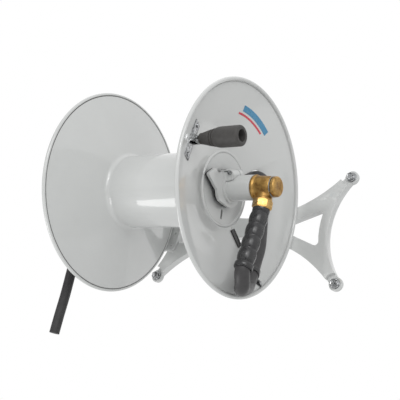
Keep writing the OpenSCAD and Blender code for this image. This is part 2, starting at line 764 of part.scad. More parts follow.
module swivel_body() color(brass) difference() {
    union() {
        on_axle(swivel_x) rotate_extrude() polygon([
            [0, 0], [swivel_collar_r - 1, 0], [swivel_collar_r, 1], [swivel_collar_r, 5],
            [swivel_collar_r - 1.5, 6.5], [swivel_r + 3, 9], [swivel_r + 2, swivel_len * 0.7],
            [swivel_r, swivel_len - 3], [swivel_r, swivel_len], [0, swivel_len]]);
        translate([outlet_x, -axis_out, -branch_z]) cylinder(r = leader_r + 2.5, h = branch_z);
        translate([outlet_x, -axis_out, -branch_z - spigot_len]) cylinder(r = leader_r, h = 20);
    }
    on_axle(swivel_x - 1) cylinder(r = stem_r + run_clear, h = swivel_len + 2);
    on_axle(outlet_x - port_r - 1) cylinder(r = stem_r + 3, h = 2 * port_r + 2);
    on_axle(swivel_end - cap_skirt) cylinder(r = cap_skirt_r, h = cap_skirt + 1);
    translate([outlet_x, -axis_out, -nut_z]) cylinder(r = stem_r - 3, h = nut_z);
}

module swivel_snap_ring() color(steel) on_axle(swivel_end) pipe(swivel_r + 0.8, cap_skirt_r, 2.2);

module swivel_cap() color(brass) difference() {
    on_axle(swivel_end - cap_skirt + 0.5) rotate_extrude() polygon([
        [0, 0], [cap_skirt_r, 0], [cap_skirt_r, cap_skirt + 1.7], [swivel_r, cap_skirt + 1.7],
        [swivel_r, cap_skirt + cap_len - 3], [swivel_r - 3, cap_skirt + cap_len], [0, cap_skirt + cap_len]]);
    on_axle(swivel_end - cap_skirt - 1) cylinder(r = stem_r + 4, h = cap_skirt + 4);
}

module outlet_nut() color(brass) translate([outlet_x, -axis_out, -nut_z]) difference() {
    intersection() {
        rotate([0, 0, 30]) hex(nut_af, nut_h);
        rotate_extrude() polygon([[0, 0], [nut_af / 2, 0], [nut_af * hex_k / 2, 2.5],
            [nut_af * hex_k / 2, nut_h - 2], [nut_af / 2, nut_h], [0, nut_h]]);
    }
    translate([0, 0, -1]) cylinder(r = leader_r + fit, h = nut_h + 2);
}

// Radius of the restrictor's waves at a share of its length
function wave_r(t) =
    restrictor_r - wave_depth * (1 - t) - wave_h * (1 - cos(360 * restrictor_bulges * t)) / 2;

module bend_restrictor() color(black) difference() {
    translate([outlet_x, -axis_out, -nut_z]) rotate(restrictor_tilt) difference() {
        rotate_extrude() polygon(concat(
            [[0, 4], [0, -restrictor_len], [restrictor_r, -restrictor_len]],
            [for (k = [32:-1:0]) [wave_r(k / 32), -8 - (restrictor_len - 14) * k / 32]],
            [[restrictor_r - 1.2, 4]]));
        translate([0, 0, -restrictor_len - 1]) cylinder(r = restrictor_bore, h = restrictor_len + 9);
        translate([0, 0, -restrictor_len - 0.5])
            cylinder(r1 = restrictor_r - restrictor_lip, r2 = restrictor_bore, h = restrictor_flare);
    }
    translate([outlet_x, -axis_out, -nut_z]) cylinder(r = restrictor_d, h = 20);
}

// ---------------------------------------------------------------- leader hose

module at_rim() translate([rim_f, -axis_out, 0]) children();

module leader_hose() color(black) at_rim() sweep(leader_path, leader_r, leader_sides);

// Children stand at a point with +Z along a direction
module along(p, t) translate(p) rotate([0, acos(t[2]), atan2(t[1], t[0])]) children();

module leader_coupling() color(brass) {
    m = len(leader_path) - 1;
    t = unit(leader_path[m] - leader_path[m - 1]);
    at_rim() along(leader_path[m], t) {
        translate([0, 0, -16]) pipe(leader_r + 1.3, leader_r + 0.2, 16);
        pipe(leader_r + 1.3, 8, 4);
        translate([0, 0, 4]) difference() {
            hex(28, 8);
            translate([0, 0, -1]) cylinder(r = 8, h = 12);
        }
        translate([0, 0, 12]) pipe(coupling_r - 1, 8, 14);
    }
}

// Ring round the hose on a foot, with a tail that lies on the disc and takes the screw
module hose_clip() color(black) {
    r = norm([clip_p[1], clip_p[2]]);
    rise = (rim_f + clip_p[0] - face_x(r)) * cos(slope);
    a = atan2(clip_p[2], clip_p[1]);
    dy = (r * cos(a - clip_screw_a) - clip_screw_r) / cos(slope);
    dz = r * sin(a - clip_screw_a);
    difference() {
        union() {
            at_rim() along(clip_p, clip_dir) translate([0, 0, -clip_w / 2])
                cylinder(r = clip_r + clip_t, h = clip_w);
            on_face(r, a) translate([-1, -clip_w / 2, -clip_w / 2]) cube([1 + rise, clip_w, clip_w]);
            on_face(clip_screw_r, clip_screw_a) rotate([atan2(dz, dy), 0, 0])
                translate([-1, -clip_w / 2, -clip_w / 2])
                    cube([1 + clip_t, norm([dy, dz]) + clip_overlap, clip_w]);
        }
        at_rim() along(clip_p, clip_dir) cylinder(r = clip_r, h = through, center = true);
        behind_face();
        on_face(clip_screw_r, clip_screw_a) rotate([0, 90, 0])
            cylinder(r = clip_screw_d / 2 + screw_play, h = 12, center = true);
    }
}

module clip_screw() color(steel) on_face(clip_screw_r, clip_screw_a) rotate([0, 90, 0]) {
    translate([0, 0, -7]) cylinder(r = clip_screw_d / 2, h = 8 + clip_t);
    translate([0, 0, clip_t]) cylinder(r = clip_screw_d, h = 3);
}

// ---------------------------------------------------------------- crank

module at_bracket() on_face(crank_r, crank_a) children();
module at_bracket_screws() at_bracket() for (s = [-1, 1])
    translate([0, 0, s * (bracket_len / 2 - bracket_screw_in)]) rotate([0, 90, 0]) children();
module at_pivot() translate([pivot_x, -axis_out - crank_y, crank_z]) children();

module crank_bracket() color(steel) difference() {
    union() {
        at_bracket() translate([-bracket_depth, -bracket_w / 2, -bracket_len / 2])
            cube([bracket_depth + bracket_rise, bracket_w, bracket_len]);
        for (s = [-1, 1]) at_pivot() translate([0, s * (knuckle_w / 2 + ear_gap + ear_t / 2), 0])
            rotate([90, 0, 0]) linear_extrude(ear_t, center = true) {
                circle(r = ear_r);
                translate([-ear_root, -ear_r]) square([ear_root, 2 * ear_r]);
            }
    }
    behind_face();
    at_pivot() rotate([90, 0, 0]) cylinder(r = pin_r, h = through, center = true);
    at_bracket_screws() translate([0, 0, -6]) cylinder(r = bracket_screw_d / 2 + screw_play, h = 12);
}

module bracket_screws() color(steel) at_bracket_screws() {
    translate([0, 0, -6]) cylinder(r = bracket_screw_d / 2, h = 7 + bracket_rise);
    translate([0, 0, bracket_rise]) cylinder(r = bracket_head_r, h = bracket_head_h);
}

module pivot_pin() color(steel) at_pivot() rotate([90, 0, 0]) {
    translate([0, 0, -pin_len / 2 - 3]) cylinder(r = pin_r, h = pin_len + 3);
    translate([0, 0, pin_len / 2]) cylinder(r = pin_r + 2, h = 2);
}

// Sprung ring on the pin's far end
module pin_clip() color(steel) at_pivot() rotate([-90, 0, 0]) translate([0, 0, pin_len / 2])
    pipe(pin_r + 2.5, pin_r, 1.5);

module handle_knuckle() color(steel) at_pivot() difference() {
    union() {
        rotate([90, 0, 0]) cylinder(r = knuckle_r, h = knuckle_w, center = true);
        rotate([0, 90, 0]) cylinder(r = knuckle_r, h = grip_x - pivot_x - side_clear);
    }
    rotate([90, 0, 0]) cylinder(r = pin_r + run_clear, h = through, center = true);
    translate([spindle_root, 0, 0]) rotate([0, 90, 0]) cylinder(r = spindle_d / 2, h = through);
}

module handle_spindle() color(steel) at_pivot() rotate([0, 90, 0]) {
    translate([0, 0, spindle_root]) cylinder(r = spindle_d / 2, h = spindle_end - pivot_x);
    translate([0, 0, spindle_end - pivot_x + 2]) hex(spindle_nut_af, spindle_nut_h);
}

module handle_washer() color(steel) at_pivot() rotate([0, 90, 0])
    translate([0, 0, spindle_end - pivot_x + side_clear]) pipe(9.5, spindle_d / 2, 1.5);

module handle_grip() color(black) at_pivot() rotate([0, 90, 0]) translate([0, 0, grip_x - pivot_x])
    difference() {
        rotate_extrude() polygon([
            [0, 0], [grip_root_d / 2 - 1.5, 0], [grip_root_d / 2, 1.5], [grip_root_d / 2 + 0.4, 6],
            [grip_d / 2 - 0.6, grip_len * grip_mid], [grip_d / 2, grip_len * grip_full],
            [grip_d / 2, grip_len - 5], [grip_d / 2 - 1.5, grip_len - 1.5], [grip_d / 2 - 4.5, grip_len],
            [0, grip_len]]);
        translate([0, 0, -1]) cylinder(r = spindle_d / 2 + run_clear, h = grip_len + 2);
        translate([0, 0, grip_len - recess_depth]) cylinder(r = recess_r, h = recess_depth + 1);
        for (k = groove_places) translate([0, 0, grip_len * k])
            pipe(grip_d, (grip_root_d + (grip_d - grip_root_d) * k / grip_mid) / 2 - groove_depth, groove_w);
    }

base_plate();
wall_bolts();
wall_washers();
support_arm();
arm_screws();
axle_set_screws();
axle_tube();
water_pipe();
pipe_spacers();
inlet_elbow();
inlet_ferrule();
inlet_hose();
rear_thrust_washer();
brake_pad();
brake_collar();
brake_bolt();
brake_nut();
swivel_stem();
drum_tube();
front_disc();
rear_disc();
front_hub();
rear_hub();
front_bush();
rear_bush();
opening_trim();
swivel_body();
swivel_seals();
swivel_snap_ring();
swivel_cap();
outlet_nut();
bend_restrictor();
leader_hose();
leader_coupling();
hose_clip();
clip_screw();
decal();
crank_bracket();
bracket_screws();
pivot_pin();
pin_clip();
handle_knuckle();
handle_spindle();
handle_washer();
handle_grip();
stem_clip();
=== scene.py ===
"""Dresses a wall-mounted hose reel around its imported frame: camera, finishes, pieces and a studio."""
import json
import math

import bpy
from bpy.props import FloatProperty, FloatVectorProperty, IntProperty, PointerProperty
from bpy.types import Operator, Panel, PropertyGroup
from mathutils import Matrix, Vector


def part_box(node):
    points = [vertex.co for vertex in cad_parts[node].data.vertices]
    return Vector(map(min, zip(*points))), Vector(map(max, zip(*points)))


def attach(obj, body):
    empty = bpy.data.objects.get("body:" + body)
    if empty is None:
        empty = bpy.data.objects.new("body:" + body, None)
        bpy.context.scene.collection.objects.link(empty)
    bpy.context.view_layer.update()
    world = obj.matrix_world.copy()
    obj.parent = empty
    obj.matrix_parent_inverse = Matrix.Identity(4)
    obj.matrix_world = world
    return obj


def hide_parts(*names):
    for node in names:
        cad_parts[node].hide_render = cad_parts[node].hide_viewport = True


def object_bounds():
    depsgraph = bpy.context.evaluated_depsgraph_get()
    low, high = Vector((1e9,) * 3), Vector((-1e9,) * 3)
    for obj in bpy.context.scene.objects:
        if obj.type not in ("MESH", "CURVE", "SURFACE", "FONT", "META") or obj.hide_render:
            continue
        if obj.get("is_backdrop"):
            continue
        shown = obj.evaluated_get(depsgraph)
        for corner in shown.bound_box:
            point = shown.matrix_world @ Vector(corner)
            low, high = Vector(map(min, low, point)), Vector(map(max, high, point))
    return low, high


bl_info = {
    "name": "Hose Reel Dressing",
    "version": (1, 0, 0),
    "blender": (4, 5, 0),
    "location": "3D View > Sidebar > Hose Reel",
    "description": "Models and paints a wall-mounted hose reel around its packed frame",
    "category": "Object",
}

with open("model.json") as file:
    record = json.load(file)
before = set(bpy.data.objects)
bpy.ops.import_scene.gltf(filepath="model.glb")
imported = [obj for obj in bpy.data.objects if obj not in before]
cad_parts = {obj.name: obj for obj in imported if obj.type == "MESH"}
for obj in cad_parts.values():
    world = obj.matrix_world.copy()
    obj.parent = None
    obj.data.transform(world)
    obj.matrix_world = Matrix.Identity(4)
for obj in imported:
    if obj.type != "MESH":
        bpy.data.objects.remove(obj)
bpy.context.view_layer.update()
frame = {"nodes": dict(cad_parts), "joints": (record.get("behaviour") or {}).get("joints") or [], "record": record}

# ---------------------------------------------------------------- places, from the frame

MM = 0.001
WELD = 0.01 * MM
X_AXIS, Y_AXIS, Z_AXIS = Vector((1, 0, 0)), Vector((0, 1, 0)), Vector((0, 0, 1))
JOINTS = {joint["name"]: joint for joint in frame["joints"]}
AXLE_Y = JOINTS["drum_spin"]["pos_m"][1]
PIVOT = Vector(JOINTS["handle_fold"]["pos_m"])
DRUM_LOW, DRUM_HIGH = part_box("drum_tube")
DISC_LOW, DISC_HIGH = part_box("front_disc")
AXLE_LOW, AXLE_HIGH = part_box("axle_tube")
SWIVEL_LOW, SWIVEL_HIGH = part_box("swivel_body")
CAP_LOW, CAP_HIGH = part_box("swivel_cap")
NUT_LOW, NUT_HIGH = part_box("outlet_nut")
GRIP_LOW, GRIP_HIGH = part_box("handle_grip")

SHEET = 2 * MM  # thickness of a disc
BEAD = 4 * MM  # radius of a disc's rolled rim
HUB_BORE = 28.6 * MM
SWIVEL_R = 20 * MM
FRONT_X = DRUM_HIGH.x + SHEET
REAR_X = DRUM_LOW.x - SHEET
DRUM_R = (DRUM_HIGH.z - DRUM_LOW.z) / 2
DISC_R = round((DISC_HIGH.z - DISC_LOW.z) / 2, 4)
DISH = round((DISC_HIGH.x - BEAD - FRONT_X) / (1 - BEAD / (DISC_R - DRUM_R)), 4)  # depth of a disc's cone
TAN_SLOPE = DISH / (DISC_R - DRUM_R)
SLOPE = math.atan(TAN_SLOPE)
RIM_X = FRONT_X + DISH
OUTLET_X = (NUT_LOW.x + NUT_HIGH.x) / 2
OUTLET = Vector((OUTLET_X, AXLE_Y, 0))
STRIPE_SPLIT = DISC_R - 61 * MM  # radius between the decal's two stripes
BOOT_SIDE = math.radians(2)  # lean of the restrictor towards the disc
BOOT_FORE = math.radians(8)  # lean of the restrictor away from the wall


# ---------------------------------------------------------------- sizes and colours


def length(name, text, default):
    """A size in metres."""
    return FloatProperty(name=name, description=text, default=default, min=0.0, unit="LENGTH")


def shade(name, text, default):
    """A colour, in linear light."""
    return FloatVectorProperty(
        name=name, description=text, default=default, subtype="COLOR", size=3, min=0.0, max=1.0)


class HoseReelSizes(PropertyGroup):
    """Sizes of the pieces."""

    hub_ridge: length("Hub ridge", "Radius of the rolled ridge round the hub", 3.4 * MM)
    disc_fillet: length("Disc fillet", "Radius of the bend between drum and discs", 9 * MM)
    opening_radius: length("Opening radius", "Outer radius of the opening in the front disc", 0.1225)
    opening_corner: length("Opening corner", "Radius of the opening's upper outer corner", 22 * MM)
    leader_radius: length("Leader hose radius", "Radius of the leader hose", 14.5 * MM)
    inlet_radius: length("Inlet hose radius", "Radius of the inlet hose", 10.8 * MM)
    boot_radius: length("Bend restrictor radius", "Radius of the restrictor's bulges", 18 * MM)
    boot_length: length("Bend restrictor length", "Length of the restrictor under its nut", 125 * MM)
    boot_bulges: IntProperty(
        name="Bulges", description="Number of bulges on the restrictor", default=4, min=2, max=8)
    edge: length("Edge softening", "Width of the bevel on the brake collar's edges", 0.9 * MM)
    lens: FloatProperty(
        name="Lens", description="Focal length of the camera", default=72.38, min=20.0, unit="CAMERA")
    floor_drop: length("Floor drop", "Height of the wall plate's middle over the floor", 1.15)


class HoseReelColours(PropertyGroup):
    """Colours of the finishes."""

    paint: shade("Paint", "Powder coat on the reel, plate, arm and axle", (0.560, 0.571, 0.564))
    chrome: shade("Chrome", "Plated screws, bracket and knuckle", (0.62, 0.63, 0.64))
    zinc: shade("Zinc", "Passivated screws and rings", (0.50, 0.51, 0.51))
    brass: shade("Brass", "Clean cast brass", (0.50, 0.300, 0.095))
    patina: shade("Patina", "Tarnish on the brass", (0.200, 0.105, 0.034))
    hose: shade("Hose", "Rubber of the hoses", (0.030, 0.029, 0.030))
    boot: shade("Boot", "Moulded rubber of restrictor, trim and clip", (0.014, 0.014, 0.015))
    grip: shade("Grip", "Moulded plastic of the crank grip", (0.044, 0.042, 0.040))
    # bearing also colours the slot plate and the rear rim's ring, which are painted shade
    bearing: shade("Bearing", "Plastic of bushes and thrust washer", (0.10, 0.10, 0.10))
    stripe: shade("Wide stripe", "Wide stripe on the front disc", (0.030, 0.190, 0.340))
    fine_stripe: shade("Fine stripe", "Narrow stripe on the front disc", (0.55, 0.035, 0.060))
    floor: shade("Floor", "Floor under the reel", (0.95, 0.95, 0.95))


def sizes():
    return bpy.context.scene.hose_reel_sizes


def colours():
    return bpy.context.scene.hose_reel_colours


# ---------------------------------------------------------------- modelling by hand


def deselect():
    for obj in list(bpy.context.selected_objects):
        obj.select_set(False)


def pick(obj):
    """Makes one object the only selected and active one."""
    deselect()
    obj.select_set(True)
    bpy.context.view_layer.objects.active = obj
    return obj


def named(name):
    """Names the active object and its data, and returns it."""
    obj = bpy.context.object
    obj.name = obj.data.name = name
    return obj


def freeze():
    """Takes the selected object's place, turn and scale into its mesh."""
    bpy.ops.object.transform_apply(location=True, rotation=True, scale=True)


def join(obj, *others):
    """Joins the others to an object."""
    pick(obj)
    for other in others:
        other.select_set(True)
    bpy.ops.object.join()
    return bpy.context.object


def editing(on):
    bpy.ops.object.mode_set(mode="EDIT" if on else "OBJECT")


def edit_faces(obj, test):
    """Goes into edit mode with only those faces selected that pass a test."""
    pick(obj)
    editing(True)
    bpy.ops.mesh.select_all(action="DESELECT")
    editing(False)
    for face in obj.data.polygons:
        face.select = test(face)
    editing(True)


def apply_modifier(obj, kind, **settings):
    """Adds one modifier with its settings and applies it."""
    pick(obj)
    modifier = obj.modifiers.new(kind.title(), kind)
    for name, value in settings.items():
        setattr(modifier, name, value)
    bpy.ops.object.modifier_apply(modifier=modifier.name)
    return obj


def soften(obj, width, angle, segments=2):
    """Bevels the edges sharper than an angle."""
    return apply_modifier(obj, "BEVEL", width=width, segments=segments, limit_method="ANGLE",
                          angle_limit=math.radians(angle), use_clamp_overlap=True)


def smooth_shade(obj, angle=32):
    pick(obj)
    bpy.ops.object.shade_smooth_by_angle(angle=math.radians(angle))
    return obj


def clean():
    """In edit mode: merges doubles and turns the faces outwards."""
    bpy.ops.mesh.select_all(action="SELECT")
    bpy.ops.mesh.remove_doubles(threshold=WELD)
    bpy.ops.mesh.normals_make_consistent(inside=False)


def draw_line(name, points):
    """Draws a line of edges by extruding one point after the other. Leaves it in edit mode, all selected."""
    deselect()
    bpy.ops.mesh.primitive_plane_add(size=MM, location=(0, 0, 0))
    obj = named(name)
    editing(True)
    bpy.ops.mesh.select_all(action="SELECT")
    bpy.ops.mesh.merge(type="CENTER")
    bpy.ops.transform.translate(value=points[0])
    for start, end in zip(points, points[1:]):
        bpy.ops.mesh.extrude_region_move(TRANSFORM_OT_translate={"value": end - start})
    bpy.ops.mesh.select_all(action="SELECT")
    return obj


def lathe(name, outline, centre, axis, across, steps=96, closed=True):
    """Turns an outline of (along, radius) points about an axis through centre. closed joins its ends."""
    points = [centre + axis * along + across * radius for along, radius in outline]
    if closed:
        points.append(points[0])
    obj = draw_line(name, points)
    bpy.ops.mesh.spin(steps=steps, angle=2 * math.pi, center=centre, axis=axis)
    clean()
    editing(False)
    return obj


def axle_lathe(name, outline, steps=96, closed=True):
    """Turns an outline of (x, radius) points about the axle."""
    return lathe(name, outline, Vector((0, AXLE_Y, 0)), X_AXIS, Y_AXIS, steps, closed)


def near(along, radius, *steps):
    """Points of an outline, each given in millimetres from one place."""
    return [(along + a * MM, radius + r * MM) for a, r in steps]


def arc(centre_along, centre_radius, radius, start, end, steps):
    """Points of an arc in an outline, from start to end degrees. 0 points outwards and 90 along the axis."""
    turn = [math.radians(start + (end - start) * k / steps) for k in range(steps + 1)]
    return [(centre_along + radius * math.sin(a), centre_radius + radius * math.cos(a)) for a in turn]


def polar(x, radius, degrees):
    """A point at a radius and angle about the axle. 0 degrees points to the wall and 90 up."""
    a = math.radians(degrees)
    return Vector((x, AXLE_Y + radius * math.cos(a), radius * math.sin(a)))


def bar(name, size, x, radius, degrees):
    """A bar at a place about the axle. size is its length along x, outwards and round the axle."""
    bpy.ops.mesh.primitive_cube_add(size=1, location=(0, 0, 0))
    obj = named(name)
    obj.scale = size
    obj.rotation_euler = (math.radians(degrees), 0, 0)
    obj.location = polar(x, radius, degrees)
    freeze()
    return obj


def cut(obj, cutter, operation="DIFFERENCE"):
    """Takes the cutter out of a piece, or joins it on, and removes the cutter."""
    apply_modifier(obj, "BOOLEAN", object=cutter, operation=operation, solver="EXACT")
    bpy.data.objects.remove(cutter)
    return obj


def tube(name, points, radius, sides, smooth_steps):
    """A tube along a smooth line through points, with its own map: U along it and V round it."""
    line = smooth_line(points, smooth_steps)
    deselect()
    bpy.ops.curve.primitive_nurbs_path_add(location=(0, 0, 0))
    curve = named(name).data
    curve.splines.clear()
    spline = curve.splines.new("POLY")
    spline.points.add(len(line) - 1)
    for spot, point in zip(spline.points, line):
        spot.co = (*point, 1.0)
    curve.dimensions = "3D"
    curve.twist_mode = "MINIMUM"
    curve.bevel_depth = radius
    curve.bevel_resolution = sides // 4 - 1
    curve.use_fill_caps = True
    bpy.ops.object.convert(target="MESH")
    editing(True)
    clean()
    editing(False)
    return smooth_shade(bpy.context.object, 50), line


def smooth_line(p, steps):
    """Points of a smooth curve through the points p, with a number of steps between two of them."""
    last = len(p) - 1
    line = []
    for i in range(last):
        a, b, c, d = p[max(i - 1, 0)], p[i], p[i + 1], p[min(i + 2, last)]
        for k in range(steps):
            t = k / steps
            line.append((2 * b + (c - a) * t + (2 * a - 5 * b + 4 * c - d) * t * t
                         + (3 * b - a - 3 * c + d) * t * t * t) / 2)
    line.append(p[-1].copy())
    return line


def place(obj, body, slot, *nodes, extra=None):
    """Gives a finished piece its material, named by extra or else by its slot, hangs it on its body's empty and
    hides the CAD nodes that it stands for.
    """
    obj.data.materials.clear()
    obj.data.materials.append(bpy.data.materials[extra or slot])
    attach(obj, body)
    if nodes:
        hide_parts(*nodes)


def soft_copy(part, name, body, slot, width, angle, segments=2):
    """Stands in for a CAD node: its triangles merged into faces and its edges softened."""
    source = frame["nodes"][part]
    obj = source.copy()
    obj.data = source.data.copy()
    obj.parent = None
    obj.matrix_world = Matrix.Identity(4)
    for key in list(obj.keys()):
        del obj[key]
    bpy.context.scene.collection.objects.link(obj)
    obj.hide_render = False
    pick(obj)
    named(name)
    if obj.data.has_custom_normals:
        bpy.ops.mesh.customdata_custom_splitnormals_clear()
    editing(True)
    bpy.ops.mesh.select_all(action="SELECT")
    bpy.ops.mesh.remove_doubles(threshold=WELD)
    bpy.ops.mesh.dissolve_limited(angle_limit=math.radians(0.6))
    editing(False)
    soften(obj, width, angle, segments)
    place(smooth_shade(obj, 40), body, slot, part)


# ---------------------------------------------------------------- finishes

COLOUR, NUMBER, ARROW = "NodeSocketColor", "NodeSocketFloat", "NodeSocketVector"
MIX_FIRST, MIX_SECOND, MIX_RESULT = 6, 7, 2  # sockets of a Mix node that mixes colours


def node(tree, kind, inputs=(), **settings):
    """Adds a node. inputs pairs its sockets' names or numbers with values or other sockets."""
    made = tree.nodes.new(kind)
    for name, value in settings.items():
        setattr(made, name, value)
    for key, value in inputs:
        if isinstance(value, bpy.types.NodeSocket):
            tree.links.new(value, made.inputs[key])
        else:
            made.inputs[key].default_value = value
    return made


def maths(tree, operation, *values, kind="ShaderNodeMath", output=0):
    return node(tree, kind, enumerate(values), operation=operation).outputs[output]


def noise(tree, vector, scale, detail, rough):
    return node(tree, "ShaderNodeTexNoise", [("Vector", vector), ("Scale", scale), ("Detail", detail),
                                             ("Roughness", rough)]).outputs["Fac"]


def remap(tree, value, low, high, to_low=0.0, to_high=1.0):
    """Stretches the values from low to high over another range, and holds those beyond at its ends."""
    return node(tree, "ShaderNodeMapRange",
                [("Value", value), ("From Min", low), ("From Max", high), ("To Min", to_low),
                 ("To Max", to_high)], clamp=True).outputs["Result"]


def blend(tree, factor, first, second):
    """Mixes two colours."""
    mix = node(tree, "ShaderNodeMix", [("Factor", factor), (MIX_FIRST, first), (MIX_SECOND, second)],
               data_type="RGBA")
    return mix.outputs[MIX_RESULT]


def new_group(name, output, kind, **inputs):
    """A shader node group, the sockets that it is given, and the socket of its one output."""
    group = bpy.data.node_groups.new(name, "ShaderNodeTree")
    for label, sort in {"Vector": ARROW, **inputs}.items():
        group.interface.new_socket(label, in_out="INPUT", socket_type=sort)
    group.interface.new_socket(output, in_out="OUTPUT", socket_type=kind)
    given = group.nodes.new("NodeGroupInput").outputs
    return group, given, group.nodes.new("NodeGroupOutput").inputs[output]


def build_mottle():
    """Two colours in cloudy patches with finer flecks."""
    group, given, out = new_group("Mottle", "Colour", COLOUR, Colour=COLOUR, Other=COLOUR, Scale=NUMBER,
                                  Share=NUMBER, Sharpness=NUMBER)
    clouds = noise(group, given["Vector"], given["Scale"], 5.0, 0.6)
    low = maths(group, "SUBTRACT", given["Share"], given["Sharpness"])
    high = maths(group, "ADD", given["Share"], given["Sharpness"])
    mask = remap(group, clouds, low, high)
    group.links.new(blend(group, mask, given["Colour"], given["Other"]), out)


def build_grain():
    """A fine bumpy skin, such as orange peel, cast grain or moulded texture."""
    group, given, out = new_group("Grain", "Normal", ARROW, Scale=NUMBER, Depth=NUMBER, Detail=NUMBER)
    fine = noise(group, given["Vector"], given["Scale"], given["Detail"], 0.5)
    bump = node(group, "ShaderNodeBump", [("Strength", 1.0), ("Distance", given["Depth"]),
                                          ("Height", fine)])
    group.links.new(bump.outputs["Normal"], out)


def build_gloss():
    """Roughness that wanders between two values."""
    group, given, out = new_group("Uneven gloss", "Roughness", NUMBER, Scale=NUMBER, Low=NUMBER, High=NUMBER)
    clouds = noise(group, given["Vector"], given["Scale"], 4.0, 0.65)
    group.links.new(remap(group, clouds, 0.3, 0.7, given["Low"], given["High"]), out)


def build_wear():
    """Where edges stand proud: a mask of the outer corners, broken up by noise."""
    group, given, out = new_group("Edge wear", "Mask", NUMBER, Amount=NUMBER)
    edges = remap(group, node(group, "ShaderNodeNewGeometry").outputs["Pointiness"], 0.51, 0.60)
    broken = remap(group, noise(group, given["Vector"], 150.0, 4.0, 0.6), 0.35, 0.6)
    both = maths(group, "MULTIPLY", edges, broken)
    group.links.new(maths(group, "MULTIPLY", both, given["Amount"]), out)


def use(tree, name, *values):
    """The output of a node group that is placed in a material with its own values."""
    group = bpy.data.node_groups[name]
    return node(tree, "ShaderNodeGroup", enumerate(values), node_tree=group).outputs[0]


def rgba(colour):
    return (*colour, 1.0)


def dim(colour, factor):
    return tuple(channel * factor for channel in colour)


def new_material(name):
    """A material with its node tree and its shader."""
    material = bpy.data.materials.new(name)
    material.use_nodes = True
    return material, material.node_tree, material.node_tree.nodes["Principled BSDF"]


def object_spot(tree):
    """The place on the object, for textures to follow."""
    return node(tree, "ShaderNodeTexCoord").outputs["Object"]


def finish_material(name, colour, other, mottle, grain, gloss, wear=None, **constants):
    """One finish. mottle is (scale, share, sharpness), grain (scale, depth, detail), gloss (scale, low,
    high) and wear (amount, colour). constants go on the shader's own sockets."""
    plain = bpy.data.materials.get(name)
    if plain:
        bpy.data.materials.remove(plain)
    material, tree, shader = new_material(name)
    spot = object_spot(tree)
    base = use(tree, "Mottle", spot, rgba(colour), rgba(other), *mottle)
    if wear:
        base = blend(tree, use(tree, "Edge wear", spot, wear[0]), base, rgba(wear[1]))
    tree.links.new(base, shader.inputs["Base Color"])
    tree.links.new(use(tree, "Grain", spot, *grain), shader.inputs["Normal"])
    tree.links.new(use(tree, "Uneven gloss", spot, *gloss), shader.inputs["Roughness"])
    for key, value in constants.items():
        shader.inputs[key.replace("_", " ")].default_value = value
    return material


